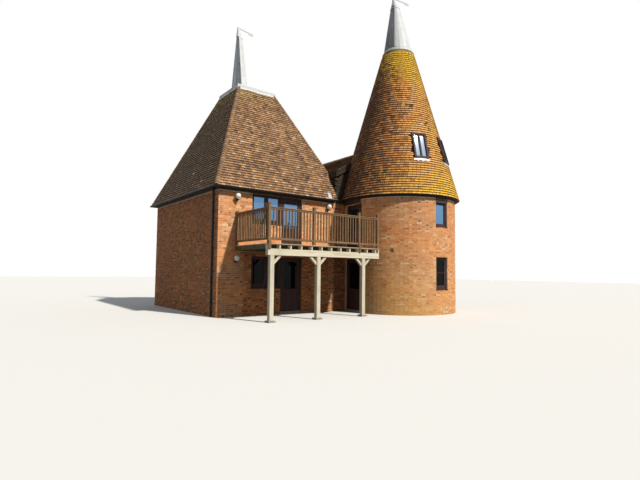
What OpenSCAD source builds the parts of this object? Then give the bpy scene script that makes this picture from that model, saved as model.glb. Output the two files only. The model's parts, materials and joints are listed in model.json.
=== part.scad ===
// Oast house: a square kiln and a round kiln, each with a turning cowl, joined by a stowage range,
// with a timber balcony across the square kiln's front.
// Millimetres. +X runs right along the front wall, +Y to the back, +Z up from the ground.

/* [Square kiln walls] */
// length of the square kiln's front wall
kiln_len = 5270; // [4500:10:6500]
// depth of the square kiln, front to back
kiln_depth = 6760; // [5000:10:8000]
// thickness of every brick wall
wall_t = 300; // [215:1:450]
// level of the top of the brickwork
wall_top = 4450; // [4000:10:5200]
// level of the square kiln's soffit
kiln_soffit = 4640; // [4200:10:5400]

/* [Square kiln roof] */
// length of the roof's plan that is lost where the stowage meets it
roof_cut = 346; // [100:1:800]
// reach of the tiles past the wall face
kiln_overhang = 205; // [100:1:400]
// half the side of the roof's flat top
rim_half = 896; // [500:1:1200]
// level of the roof's flat top
rim_top = 9536; // [8000:1:11000]
// roof build-up, measured straight down
roof_drop = 400; // [250:10:700]
// width of the roof's seat on the walls
roof_seat = 160; // [100:5:280]
// height of the boarded curb on the roof's flat top
curb_h = 90; // [50:5:200]
// reach of the curb past the tiles
curb_out = 25; // [0:1:60]

/* [Round kiln] */
// middle of the round kiln in front of the wall line
tower_front = 1092; // [0:1:2500]
// outer radius of the round wall
tower_r = 2401; // [2000:1:3000]
// level of the round kiln's soffit
tower_soffit = 4690; // [4200:10:5400]
// radius of the eaves
eaves_r = 2560; // [2300:1:3300]
// radius of the cone's top
cone_top_r = 684; // [400:1:1000]
// level of the cone's top
cone_top = 11279; // [9000:1:13000]
// thickness of the cone, measured level
cone_t = 150; // [80:5:250]
// direction of the joint between the front and the right part of the round wall
split_front = 305; // [300:1:330]
// direction of the joint between the right and the back part of the round wall
split_back = 50; // [30:1:60]

/* [Cowls] */
// direction in which both cowls stand open, from +X anticlockwise
cowl_open_angle = 169; // [0:1:360]
// number of boards round a cowl
cowl_boards = 24; // [13:1:48]
// thickness of the cowl boards
cowl_t = 30; // [20:1:50]
// height of the square kiln's cowl
kiln_cowl_h = 3020; // [2000:10:4000]
// radius of the square kiln's cowl at its foot
kiln_cowl_r = 460; // [300:5:700]
// height of the round kiln's cowl
tower_cowl_h = 2620; // [2000:10:4000]
// radius of the round kiln's cowl at its foot
tower_cowl_r = 645; // [400:5:900]
// shift of the square kiln's cowl from the roof's middle, along X
kiln_cowl_dx = -310; // [-400:10:400]
// shift of the square kiln's cowl from the roof's middle, along Y
kiln_cowl_dy = 235; // [-400:5:400]
// lean of the square kiln's cowl, measured at its tip
kiln_cowl_lean = 150; // [50:5:300]
// lean of the round kiln's cowl, measured at its tip
tower_cowl_lean = 250; // [50:5:400]
// foot of the square kiln's cowl opening, as a share of the cowl's radius
kiln_cowl_open = 0.45; // [0.2:0.01:0.8]
// foot of the round kiln's cowl opening, as a share of the cowl's radius
tower_cowl_open = 0.63; // [0.2:0.01:0.8]
// radius of a cowl at its tip
cowl_tip_r = 45; // [30:1:80]
// height of the closed ring under a cowl's opening
cowl_ring_h = 130; // [60:5:300]
// width of the bearing bar at a cowl's foot
cowl_bar_w = 120; // [80:5:200]
// height of the bearing bar at a cowl's foot
cowl_bar_h = 60; // [40:5:100]
// length of the vane finger
finger_l = 780; // [300:10:1200]
// width of the vane finger
finger_w = 28; // [20:1:50]
// height of the vane finger
finger_h = 45; // [30:1:80]
// length of the vane at the finger's end
vane_l = 230; // [100:10:400]
// height of the vane at the finger's end
vane_h = 145; // [80:5:250]
// thickness of the vane
vane_t = 18; // [8:1:25]
// radius of the pivot posts
post_r = 35; // [20:1:60]
// width of the timber round the vent under the square kiln's cowl
vent_rim = 80; // [50:5:150]

/* [Stowage] */
// length of the stowage along X, with the round kiln on its middle line
stow_len = 5452; // [5100:1:7000]
// depth of the stowage, front to back
stow_depth = 9800; // [7000:100:14000]
// level of the stowage ridge
ridge_z = 7360; // [6000:10:9000]
// roof build-up of the stowage, measured straight down
slab_t = 235; // [120:5:350]
// reach of the stowage roof past its walls
stow_overhang = 250; // [50:10:500]
// reach of the stowage roof past its end walls
verge_out = 120; // [0:10:300]
// gap between the stowage roof and the cone
cone_gap = 15; // [5:1:40]
// width of each wing of the lead in the valley
valley_wing = 170; // [100:5:250]
// thickness of that lead
lead_t = 12; // [6:1:20]
// distance of the lead's ends from the hips
lead_in = 65; // [20:5:150]

/* [Floors] */
// top of the ground floor
floor_top = 100; // [50:5:300]
// top of the upper floor
upper_top = 2500; // [2300:10:2900]
// thickness of the upper floor
upper_t = 150; // [100:5:300]
// direction of the beam in the round kiln's upper floor
tower_beam_angle = 225; // [210:1:229]
// width of that beam
tower_beam_w = 200; // [120:10:260]
// length of that beam's seats in the wall
beam_seat = 120; // [80:5:180]
// height of the upper doorways' foot above the upper floor
threshold_h = 20; // [0:5:60]

/* [Windows and doors] */
// left edge of the window in the square kiln's front wall
win_x0 = 1350; // [1000:10:1800]
// edge between that window and the door beside it
door_x0 = 2640; // [2400:10:2900]
// right edge of the door
door_x1 = 3610; // [3300:10:3900]
// sill level of the ground floor window
low_sill = 980; // [700:10:1300]
// head level of the ground floor window and door
low_head = 2190; // [2000:10:2300]
// sill level of the upper window
high_sill = 3420; // [3200:10:3700]
// width of the frame timber
frame_w = 60; // [40:1:100]
// depth of the frame timber
frame_d = 90; // [60:1:140]
// depth of the frames behind the wall face
frame_back = 60; // [20:1:150]
// thickness of the door leaves
leaf_t = 45; // [35:1:60]
// width of the timber round a door's glass
stile_w = 110; // [80:5:150]
// height of the solid part of a door, as a share of the door
leaf_low = 0.42; // [0.3:0.01:0.6]
// sinking of a door's lower panel
panel_in = 12; // [4:1:18]
// reach of a door stop past its frame
stop_w = 15; // [8:1:25]
// thickness of a door stop
stop_t = 14; // [8:1:25]
// running gap round a moving leaf
leaf_gap = 7; // [5:1:15]
// radius of the hinge pins
pin_r = 5; // [4:0.5:8]
// radius of the hinge knuckles
knuckle_r = 12; // [9:0.5:16]
// height of a hinge knuckle
knuckle_h = 36; // [25:1:60]
// height of the lower hinge above the foot of a door
low_hinge = 180; // [120:10:300]
// height of the upper hinge above the foot of a door
high_hinge = 1640; // [1400:10:1750]
// height of the sill board under a window
sill_h = 45; // [30:1:80]
// reach of the sill board past the wall face
sill_out = 35; // [10:5:80]
// thickness of the glass
glass_t = 14; // [6:1:24]
// width of the windows on the back and side walls
rear_win_w = 1270; // [900:10:1500]
// place of the side wall's windows, as a share of the stowage's depth from each end
rear_win_at = 0.3; // [0.2:0.01:0.35]

/* [Round kiln openings] */
// direction of the round kiln's doors
tower_door_angle = 171.75; // [150:0.25:190]
// width of the round kiln's door openings
tower_door_w = 1180; // [900:10:1400]
// depth of flat frames behind the round wall's nearest line
flat_in = 20; // [0:5:60]
// further depth of the round kiln's doors
tower_door_in = 60; // [0:5:100]
// direction of the round kiln's wall windows
tower_win_angle = 269; // [240:1:300]
// width of the round kiln's wall windows
tower_win_w = 680; // [500:10:900]
// sill level of the lower window
tower_low_sill = 970; // [700:10:1300]
// head level of the lower window
tower_low_head = 2280; // [2000:10:2400]
// sill level of the upper window
tower_high_sill = 3450; // [3200:10:3700]
// direction of the left roof window
roof_win_a = 249; // [230:1:265]
// direction of the right roof window
roof_win_b = 291; // [275:1:310]
// middle level of the roof windows
roof_win_z = 6750; // [6000:10:8000]
// width of the roof windows
roof_win_w = 620; // [450:10:800]
// height of the roof windows along the slope
roof_win_h = 1150; // [800:10:1400]
// height of the roof windows proud of the tiles
roof_win_up = 70; // [40:5:150]
// width of the roof windows' frames
roof_win_rim = 75; // [50:5:110]
// width of the bar in a roof window
roof_win_bar = 60; // [30:5:90]

/* [Balcony] */
// left end of the balcony from the wall corner
bal_x0 = 680; // [300:10:1500]
// right end of the balcony
bal_x1 = 5614; // [5000:1:5900]
// reach of the balcony from the wall
bal_reach = 2334; // [1500:1:3000]
// top of the decking
deck_top = 2547; // [2300:1:2800]
// thickness of the decking
deck_t = 30; // [20:1:50]
// reach of the decking past the front beam
deck_out = 30; // [0:5:80]
// depth of the joists
joist_h = 144; // [100:1:225]
// thickness of the joists
joist_w = 47; // [38:1:75]
// spacing of the joists
joist_step = 430; // [300:5:600]
// depth of the front beam
beam_h = 212; // [150:1:300]
// thickness of the front beam and the posts
post_w = 155; // [100:5:200]
// distance of the left post from the balcony's left end
post_a = 90; // [0:5:300]
// place of the middle post, as a share of the balcony's length
post_b = 0.3993; // [0.3:0.0001:0.5]
// place of the right post, as a share of the balcony's length
post_c = 0.825; // [0.7:0.0001:0.9]
// reach of the braces along the beam
brace_l = 420; // [200:10:600]
// section of the braces
brace_w = 95; // [60:1:150]
// height of the pads under the posts
pad_h = 60; // [30:5:150]
// side of the pads
pad_w = 260; // [200:10:400]

/* [Balustrade] */
// top of the handrail above the deck
rail_up = 1187; // [1000:1:1300]
// height of the handrail
rail_h = 60; // [40:1:90]
// width of the handrail
rail_w = 95; // [60:1:150]
// gap under the bottom rail
rail_gap = 115; // [60:1:150]
// height of the bottom rail
low_rail_h = 70; // [40:1:90]
// side of the balustrade posts
newel_w = 95; // [70:1:130]
// height of the posts above the handrail
newel_up = 110; // [0:5:200]
// place of the second post, as a share of the balcony's length
newel_b = 0.375; // [0.3:0.001:0.45]
// place of the third post, as a share of the balcony's length
newel_c = 0.7975; // [0.7:0.0005:0.85]
// height of the wall post above the handrail
wall_newel_up = 40; // [0:5:200]
// thickness of the posts' caps
cap_t = 20; // [10:1:40]
// reach of the posts' caps past the posts
cap_out = 8; // [0:1:20]
// side of a baluster
bal_w = 40; // [30:1:60]
// wanted spacing of the balusters
bal_step = 125; // [90:1:140]

/* [Lamps and downpipe] */
// radius of a globe lamp
globe_r = 115; // [80:1:160]
// distance of the left lamps from the wall corner
lamp_left = 700; // [400:10:1100]
// distance of the right lamp from the wall's far end
lamp_right = 370; // [200:10:800]
// drop of the upper lamps below the top of the brickwork
lamp_high = 90; // [0:5:300]
// drop of the lower lamp below the window head
lamp_low = 80; // [0:5:300]
// distance of the lamps' middle from the wall face
lamp_out = 133; // [125:1:200]
// thickness of the lamps' glass
globe_t = 6; // [3:1:10]
// radius of the lamps' wall plates
rose_r = 45; // [30:1:60]
// thickness of the lamps' wall plates
rose_t = 18; // [10:1:25]
// side of the lamps' arms
arm_w = 24; // [15:1:35]
// radius of the holders under the globes
holder_r = 40; // [25:1:55]
// height of the holders under the globes
holder_h = 56; // [40:1:80]
// radius of the downpipe
pipe_r = 36; // [25:1:60]
// thickness of the downpipe's wall
pipe_t = 4; // [3:0.5:6]
// gap between the downpipe and the wall
pipe_gap = 20; // [5:1:50]
// distance of the downpipe from the front wall face
pipe_in = 330; // [150:10:600]
// width of the downpipe's brackets
clip_w = 80; // [76:2:120]
// height of the downpipe's brackets
clip_h = 50; // [30:5:100]

/* [Hidden] */
$fn = 64;
// fineness of the big round walls and the cone
round_fn = 360;
clear = 6;
touch = 0.4;
fit = 0.25;
// gap between round faces of different pieces
round_gap = 5;
// gap between two sectors of the round wall, in degrees
sector_gap = 0.01;
big = 20000;
low = 50;
// origin: the middle of the square kiln's roof plan, on the ground
mid_x = (kiln_len + roof_cut) / 2;
mid_y = kiln_depth / 2;
tower_x = kiln_len + stow_len / 2;
tower_y = -tower_front;
tower_in = tower_r - wall_t;
kiln_tan = (rim_top - kiln_soffit) / (mid_x - rim_half + kiln_overhang);
kiln_front_tan = (rim_top - kiln_soffit) / (mid_y - rim_half + kiln_overhang);
// the stowage slope meets the square kiln's roof at this level
valley_z = rim_top - kiln_tan * (kiln_len - mid_x - rim_half);
stow_x1 = kiln_len + stow_len;
ridge_x = tower_x;
stow_tan = (ridge_z - valley_z) / (ridge_x - kiln_len);
cone_tan = (eaves_r - cone_top_r) / (cone_top - tower_soffit);
cowl_foot = rim_top + curb_h + clear;
tower_cowl_foot = cone_top + curb_h + clear;
joist_top = deck_top - deck_t;
beam_top = joist_top - joist_h;
beam_bottom = beam_top - beam_h;
rail_top = deck_top + rail_up;
high_head = wall_top;
door_foot = floor_top;
over_top = upper_top + threshold_h;
side_win_shares = [rear_win_at, 1 - rear_win_at];
bal_len = bal_x1 - bal_x0;
newels = [bal_x0 + newel_w / 2, bal_x0 + newel_b * bal_len, bal_x0 + newel_c * bal_len,
    bal_x1 - newel_w / 2];
posts = [bal_x0 + post_a, bal_x0 + post_b * bal_len, bal_x0 + post_c * bal_len];
leaf_foot = floor_top + leaf_gap + clear;
kiln_vent_r = kiln_cowl_r - vent_rim;
// the leaves of the upper doors stand in the middle of their frames
fixed_leaf_y = frame_back + 20;
// a weld that lets two parts of one piece run into each other
weld = 1;

brick = [0.66, 0.36, 0.24];
tile = [0.55, 0.36, 0.24];
white = [0.93, 0.93, 0.9];
timber = [0.25, 0.17, 0.13];
oak = [0.72, 0.66, 0.55];
guard = [0.62, 0.47, 0.3];
pane = [0.35, 0.5, 0.62];
black = [0.08, 0.08, 0.08];
lead = [0.55, 0.57, 0.6];
stone = [0.6, 0.56, 0.5];

// general shapes
module slab(x0, y0, z0, x1, y1, z1) {
    translate([x0, y0, z0]) cube([x1 - x0, y1 - y0, z1 - z0]);
}

module at_origin() {
    translate([-mid_x, -mid_y, 0]) children();
}

module at_tower(angle) {
    translate([tower_x, tower_y, 0]) rotate([0, 0, angle]) children();
}

module profile_along_y(y0, y1) {
    translate([0, y1, 0]) rotate([90, 0, 0]) linear_extrude(height = y1 - y0) children();
}

module profile_along_x(x0, x1) {
    translate([x0, 0, 0]) rotate([90, 0, 90]) linear_extrude(height = x1 - x0) children();
}

// the square kiln's roof body, solid, with its whole square plan
module kiln_pyramid() {
    intersection() {
        profile_along_x(-kiln_overhang, 2 * mid_x + kiln_overhang)
            polygon([[-kiln_overhang, kiln_soffit], [mid_y - rim_half, rim_top],
                [mid_y + rim_half, rim_top], [kiln_depth + kiln_overhang, kiln_soffit]]);
        profile_along_y(-kiln_overhang, kiln_depth + kiln_overhang)
            polygon([[-kiln_overhang, kiln_soffit], [mid_x - rim_half, rim_top],
                [mid_x + rim_half, rim_top], [2 * mid_x + kiln_overhang, kiln_soffit]]);
    }
}

// the cone's body, solid, grown by a level distance
module tower_cone(grow) {
    translate([tower_x, tower_y, tower_soffit])
        cylinder(h = cone_top - tower_soffit, r1 = eaves_r + grow, r2 = cone_top_r + grow,
            $fn = round_fn);
}

module tower_drum(r, z0, z1) {
    translate([tower_x, tower_y, z0]) cylinder(h = z1 - z0, r = r, $fn = round_fn);
}

// square kiln walls
module kiln_wall_front_left() {
    color(brick) at_origin() difference() {
        slab(0, 0, 0, door_x0, wall_t, wall_top);
        slab(win_x0, -low, low_sill, door_x0 + low, wall_t + low, low_head);
        slab(win_x0, -low, high_sill, door_x0 + low, wall_t + low, wall_top + low);
    }
}

module kiln_wall_front_right() {
    color(brick) at_origin() slab(door_x1, 0, 0, kiln_len - wall_t, wall_t, wall_top);
}

module kiln_wall_front_over() {
    color(brick) at_origin() slab(door_x0, 0, low_head, door_x1, wall_t, over_top);
}

module kiln_wall_west() {
    color(brick) at_origin() slab(0, wall_t, 0, wall_t, kiln_depth - wall_t, wall_top);
}

module kiln_wall_back() {
    color(brick) at_origin() difference() {
        slab(0, kiln_depth - wall_t, 0, kiln_len - wall_t, kiln_depth, wall_top);
        kiln_back_place() rear_hole(low_sill, low_head);
        kiln_back_place() rear_hole(high_sill, high_head + low);
    }
}

module kiln_wall_east() {
    color(brick) at_origin() difference() {
        slab(kiln_len - wall_t, 0, 0, kiln_len, kiln_depth, valley_z);
        difference() {
            slab(0, -low, kiln_soffit - touch, kiln_len + low, kiln_depth + low, big / 2);
            intersection() {
                translate([0, 0, -roof_drop - clear]) kiln_pyramid();
                slab(0, roof_seat + touch, 0, kiln_len + low, kiln_depth - roof_seat - touch, big);
            }
        }
    }
}

module kiln_wall_plate() {
    color(timber) at_origin() difference() {
        slab(0, 0, wall_top, kiln_len - wall_t, kiln_depth, kiln_soffit);
        slab(wall_t, wall_t, wall_top - low, kiln_len, kiln_depth - wall_t, kiln_soffit + low);
    }
}

// square kiln roof, cut off where the stowage rises beside it
module kiln_roof() {
    color(tile) at_origin() difference() {
        kiln_pyramid();
        intersection() {
            translate([0, 0, -roof_drop]) kiln_pyramid();
            slab(roof_seat, roof_seat, 0, kiln_len + low, kiln_depth - roof_seat, big);
        }
        slab(kiln_len, -big / 2, 0, big, big, big);
        translate([mid_x + kiln_cowl_dx, mid_y + kiln_cowl_dy, rim_top - roof_drop - low])
            cylinder(h = roof_drop + 2 * low, r = kiln_vent_r);
    }
}

// a bar across a vent, and the upright post on which the cowl turns
module pivot(foot_z, cowl_h, hole_r) {
    bar_h = curb_h - 10;
    translate([-hole_r - low / 2, -bar_h / 2, foot_z - bar_h]) cube([2 * hole_r + low, bar_h, bar_h]);
    translate([0, 0, foot_z - bar_h / 2]) cylinder(h = bar_h / 2 + cowl_h / 2, r = post_r);
}

module kiln_roof_curb() {
    side = rim_half + curb_out;
    color(white) at_origin() {
        difference() {
            slab(mid_x - side, mid_y - side, rim_top, mid_x + side, mid_y + side, rim_top + curb_h);
            translate([mid_x + kiln_cowl_dx, mid_y + kiln_cowl_dy, rim_top - low])
                cylinder(h = curb_h + 2 * low, r = kiln_vent_r);
        }
        translate([mid_x + kiln_cowl_dx, mid_y + kiln_cowl_dy, 0])
            pivot(rim_top + curb_h, kiln_cowl_h, kiln_vent_r);
    }
}

// a leaning boarded cone, open on one side, with its vane finger and its bearing
module cowl(foot, h, r, lean, cut_foot) {
    // the inside ends below the tip at this share of the height
    inside = 0.93;
    // the opening ends at this share of the height
    opening = 0.86;
    ring = 1;
    bar_z = 20;
    fall = atan((cut_foot - lean) / h);
    rotate([0, 0, cowl_open_angle]) translate([0, 0, foot]) {
        difference() {
            hull() {
                cylinder(h = ring, r = r, $fn = cowl_boards);
                translate([lean, 0, h - ring]) cylinder(h = ring, r = cowl_tip_r, $fn = cowl_boards);
            }
            hull() {
                translate([0, 0, -ring]) cylinder(h = ring, r = r - cowl_t, $fn = cowl_boards);
                translate([lean * inside, 0, h * inside])
                    cylinder(h = ring, r = cowl_tip_r - cowl_t, $fn = cowl_boards);
            }
            translate([cut_foot, 0, cowl_ring_h]) rotate([0, -fall, 0])
                translate([0, -r * 2, 0]) cube([r * 3, r * 4, h * opening]);
        }
        difference() {
            translate([-r + cowl_t / 2, -cowl_bar_w / 2, bar_z])
                cube([2 * r - cowl_t, cowl_bar_w, cowl_bar_h]);
            translate([0, 0, -low]) cylinder(h = 4 * low, r = post_r + fit);
        }
        translate([lean - finger_l, -finger_w / 2, h - 2 * finger_h])
            cube([finger_l, finger_w, finger_h]);
        translate([lean - finger_l - 30, -vane_t / 2, h - vane_h]) cube([vane_l, vane_t, vane_h]);
    }
}

module kiln_cowl() {
    color(white) at_origin() translate([mid_x + kiln_cowl_dx, mid_y + kiln_cowl_dy, 0])
        cowl(cowl_foot, kiln_cowl_h, kiln_cowl_r, kiln_cowl_lean, kiln_cowl_r * kiln_cowl_open);
}

// frames and panes, drawn at a wall face on the line Y = 0 with the room behind
module frame_ring(x0, z0, x1, z1, w) {
    difference() {
        slab(x0, frame_back, z0, x1, frame_back + frame_d, z1);
        slab(x0 + w, 0, z0 + w, x1 - w, frame_back + frame_d + low, z1 - w);
    }
}

module two_light(x0, z0, x1, z1) {
    middle = (x0 + x1) / 2;
    frame_ring(x0, z0 + sill_h, x1, z1, frame_w);
    slab(middle - frame_w / 2, frame_back, z0 + sill_h + frame_w - weld, middle + frame_w / 2,
        frame_back + frame_d, z1 - frame_w + weld);
    slab(x0, -sill_out, z0, x1, frame_back + frame_d, z0 + sill_h);
}

module two_light_glass(x0, z0, x1, z1) {
    middle = (x0 + x1) / 2;
    y0 = frame_back + (frame_d - glass_t) / 2;
    foot = z0 + sill_h + frame_w;
    slab(x0 + frame_w, y0, foot, middle - frame_w / 2, y0 + glass_t, z1 - frame_w);
    slab(middle + frame_w / 2, y0, foot, x1 - frame_w, y0 + glass_t, z1 - frame_w);
}

module one_light(x0, z0, x1, z1) {
    bar_z = (z0 + sill_h + z1) / 2;
    frame_ring(x0, z0 + sill_h, x1, z1, frame_w);
    slab(x0 + frame_w - weld, frame_back, bar_z - frame_w / 2, x1 - frame_w + weld,
        frame_back + frame_d, bar_z + frame_w / 2);
    slab(x0, -sill_out, z0, x1, frame_back + frame_d, z0 + sill_h);
}

module one_light_glass(x0, z0, x1, z1) {
    bar_z = (z0 + sill_h + z1) / 2;
    y0 = frame_back + (frame_d - glass_t) / 2;
    slab(x0 + frame_w, y0, z0 + sill_h + frame_w, x1 - frame_w, y0 + glass_t, bar_z - frame_w / 2);
    slab(x0 + frame_w, y0, bar_z + frame_w / 2, x1 - frame_w, y0 + glass_t, z1 - frame_w);
}

// a half-glazed leaf between two upright edges, glass and leaf apart
module leaf(x0, z0, x1, z1, y0) {
    middle = z0 + (z1 - z0) * leaf_low;
    difference() {
        slab(x0, y0, z0, x1, y0 + leaf_t, z1);
        slab(x0 + stile_w, y0 - low, middle, x1 - stile_w, y0 + leaf_t + low, z1 - stile_w);
        slab(x0 + stile_w, y0 - low, z0 + 2 * stile_w, x1 - stile_w, y0 + panel_in,
            middle - stile_w);
    }
}

module leaf_glass(x0, z0, x1, z1, y0) {
    middle = z0 + (z1 - z0) * leaf_low;
    y1 = y0 + (leaf_t - glass_t) / 2;
    slab(x0 + stile_w, y1, middle, x1 - stile_w, y1 + glass_t, z1 - stile_w);
}

// where a door's pins stand: clear of the jamb by the running gap, and behind the leaf
pin_in = knuckle_r + leaf_gap - 1.5;
pin_back = frame_back + leaf_gap + leaf_t + knuckle_r + 5;
strap_t = 6;
function pin_levels() = [leaf_foot + low_hinge, leaf_foot + high_hinge];

module pintles(jamb_x, side) {
    x = jamb_x - side * pin_in;
    for (z = pin_levels()) {
        translate([x, pin_back, z]) cylinder(h = knuckle_h, r = knuckle_r);
        translate([x, pin_back, z]) cylinder(h = 2 * knuckle_h, r = pin_r);
        slab(min(x, jamb_x + side * weld), pin_back - strap_t / 2, z,
            max(x, jamb_x + side * weld), pin_back + strap_t / 2, z + knuckle_h);
    }
}

module knuckles(jamb_x, side) {
    x = jamb_x - side * pin_in;
    for (z = pin_levels()) translate([x, pin_back, z + knuckle_h + touch]) difference() {
        union() {
            cylinder(h = knuckle_h, r = knuckle_r);
            slab(-knuckle_r + weld, -knuckle_r - strap_t, 0, knuckle_r - weld, 0, knuckle_h);
        }
        translate([0, 0, -low]) cylinder(h = knuckle_h + 2 * low, r = pin_r + fit);
    }
}

// the frame of a door, with its stop in front of the leaf and no bar at its foot
module door_frame(x0, z0, x1, z1) {
    difference() {
        slab(x0, frame_back, z0, x1, frame_back + frame_d, z1);
        slab(x0 + frame_w, 0, z0 - low, x1 - frame_w, frame_back + frame_d + low, z1 - frame_w);
    }
    difference() {
        slab(x0, frame_back - stop_t, z0, x1, frame_back, z1);
        slab(x0 + frame_w + stop_w, 0, z0 - low, x1 - frame_w - stop_w, frame_back + low,
            z1 - frame_w - stop_w);
    }
}

module kiln_windows_front() {
    color(timber) at_origin() {
        two_light(win_x0, low_sill, door_x0, low_head);
        two_light(win_x0, high_sill, door_x0, high_head);
    }
}

module kiln_door_frame() {
    color(timber) at_origin() {
        door_frame(door_x0, door_foot, door_x1, low_head);
        pintles(door_x1 - frame_w, 1);
    }
}

module kiln_door_ground() {
    color(timber) at_origin() {
        leaf(door_x0 + frame_w + leaf_gap, leaf_foot, door_x1 - frame_w - leaf_gap,
            low_head - frame_w - leaf_gap, frame_back + leaf_gap);
        knuckles(door_x1 - frame_w, 1);
    }
}

module kiln_door_ground_glass() {
    color(pane) at_origin() leaf_glass(door_x0 + frame_w + leaf_gap, leaf_foot,
        door_x1 - frame_w - leaf_gap, low_head - frame_w - leaf_gap, frame_back + leaf_gap);
}

module kiln_door_upper() {
    color(timber) at_origin() {
        frame_ring(door_x0, over_top, door_x1, high_head, frame_w);
        leaf(door_x0 + frame_w - weld, over_top + frame_w - weld, door_x1 - frame_w + weld,
            high_head - frame_w + weld, fixed_leaf_y);
    }
}

// round kiln walls
module wall_sector(a0, a1) {
    at_tower(a0 + sector_gap / 2) rotate_extrude(angle = a1 - a0 - sector_gap, $fn = round_fn)
        translate([tower_in, 0]) square([wall_t, wall_top]);
}

module tower_hole(angle, w, z0, z1) {
    at_tower(angle) slab(tower_in - 4 * low, -w / 2, z0, tower_r + 4 * low, w / 2, z1);
}

// the beam under the round upper floor, let into the wall at both ends, or its pocket
module tower_beam(gap) {
    reach = tower_in + beam_seat + gap;
    at_tower(tower_beam_angle) slab(-reach, -tower_beam_w / 2 - gap, upper_top - upper_t - gap,
        reach, tower_beam_w / 2 + gap, upper_top + gap);
}

module tower_wall_front() {
    color(brick) at_origin() difference() {
        wall_sector(tower_door_angle, split_front);
        tower_beam(touch);
        tower_hole(tower_door_angle, tower_door_w, -low, wall_top + low);
        tower_hole(tower_win_angle, tower_win_w, tower_low_sill, tower_low_head);
        tower_hole(tower_win_angle, tower_win_w, tower_high_sill, wall_top + low);
    }
}

module tower_wall_east() {
    color(brick) at_origin() difference() {
        wall_sector(split_front, 360 + split_back);
        tower_beam(touch);
    }
}

module tower_wall_back() {
    color(brick) at_origin() difference() {
        wall_sector(split_back, tower_door_angle);
        tower_hole(tower_door_angle, tower_door_w, -low, wall_top + low);
    }
}

module tower_wall_over_door() {
    color(brick) at_origin() intersection() {
        difference() {
            tower_drum(tower_r, low_head, over_top);
            tower_drum(tower_in, 0, big / 2);
        }
        tower_hole(tower_door_angle, tower_door_w - 2 * touch, 0, big / 2);
    }
}

module tower_wall_plate() {
    color(timber) at_origin() difference() {
        tower_drum(tower_r, wall_top + touch, tower_soffit);
        tower_drum(tower_in, 0, big / 2);
    }
}

module roof_win_place(angle) {
    r = eaves_r - cone_tan * (roof_win_z - tower_soffit);
    at_tower(angle) translate([r, 0, roof_win_z]) rotate([0, -atan(cone_tan), 0]) children();
}

module tower_roof() {
    color(tile) at_origin() difference() {
        tower_cone(0);
        intersection() {
            translate([0, 0, -low]) tower_cone(-cone_t - low * cone_tan);
            tower_drum(tower_in + wall_t - roof_seat, 0, big);
        }
        tower_drum(cone_top_r - cone_t, cone_top - 2 * low, big);
        roof_win_place(roof_win_a) roof_win_hole();
        roof_win_place(roof_win_b) roof_win_hole();
    }
}

module roof_win_hole() {
    slab(-10 * low, -roof_win_w / 2, -roof_win_h / 2, 4 * low, roof_win_w / 2, roof_win_h / 2);
}

module tower_roof_curb() {
    hole_r = cone_top_r - cone_t;
    color(white) at_origin() {
        difference() {
            tower_drum(cone_top_r + curb_out, cone_top, cone_top + curb_h);
            tower_drum(hole_r, cone_top - low, cone_top + curb_h + low);
        }
        translate([tower_x, tower_y, 0]) pivot(cone_top + curb_h, tower_cowl_h, hole_r);
    }
}

module tower_cowl() {
    color(white) at_origin() translate([tower_x, tower_y, 0])
        cowl(tower_cowl_foot, tower_cowl_h, tower_cowl_r, tower_cowl_lean,
            tower_cowl_r * tower_cowl_open);
}

// a roof window, drawn with the tiles on the plane X = 0
module roof_window() {
    x = roof_win_w / 2;
    z = roof_win_h / 2;
    rim = roof_win_rim;
    difference() {
        slab(-cone_t, -x, -z, roof_win_up, x, z);
        slab(-cone_t - low, -x + rim, -z + rim, roof_win_up + low, x - rim, z - rim);
    }
    slab(-cone_t / 2, -roof_win_bar / 2, -z + rim - weld, roof_win_up - 10, roof_win_bar / 2,
        z - rim + weld);
}

module roof_window_glass() {
    x = roof_win_w / 2 - roof_win_rim;
    z = roof_win_h / 2 - roof_win_rim;
    slab(0, -x, -z, glass_t, -roof_win_bar / 2, z);
    slab(0, roof_win_bar / 2, -z, glass_t, x, z);
}

module roof_windows() {
    color(timber) at_origin() {
        roof_win_place(roof_win_a) roof_window();
        roof_win_place(roof_win_b) roof_window();
    }
}

// a flat window or door face in the round wall, drawn with its face on the line Y = 0
module tower_face(angle) {
    at_tower(angle) translate([tower_r - flat_in, 0, 0]) rotate([0, 0, 90]) children();
}

module tower_door_face() {
    tower_face(tower_door_angle) translate([0, tower_door_in, 0]) children();
}

module tower_windows() {
    half = tower_win_w / 2 - touch;
    color(timber) at_origin() tower_face(tower_win_angle) {
        one_light(-half, tower_low_sill + touch, half, tower_low_head - touch);
        one_light(-half, tower_high_sill + touch, half, high_head - touch);
    }
}

module tower_door_frame() {
    half = tower_door_w / 2 - touch;
    color(timber) at_origin() tower_door_face() {
        door_frame(-half, door_foot + touch, half, low_head - touch);
        pintles(-half + frame_w, -1);
    }
}

module tower_door_ground() {
    half = tower_door_w / 2 - touch - frame_w - leaf_gap;
    color(timber) at_origin() tower_door_face() {
        leaf(-half, leaf_foot, half, low_head - frame_w - leaf_gap, frame_back + leaf_gap);
        knuckles(-half - leaf_gap, -1);
    }
}

module tower_door_ground_glass() {
    half = tower_door_w / 2 - touch - frame_w - leaf_gap;
    color(pane) at_origin() tower_door_face()
        leaf_glass(-half, leaf_foot, half, low_head - frame_w - leaf_gap, frame_back + leaf_gap);
}

module tower_door_upper() {
    half = tower_door_w / 2 - touch;
    head = high_head - touch;
    color(timber) at_origin() tower_door_face() {
        frame_ring(-half, over_top + touch, half, head, frame_w);
        leaf(-half + frame_w - weld, over_top + frame_w - weld, half - frame_w + weld,
            head - frame_w + weld, fixed_leaf_y);
    }
}

// stowage
module tower_space() {
    tower_drum(tower_r + round_gap, -low, tower_soffit);
    tower_cone(cone_gap);
}

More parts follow.
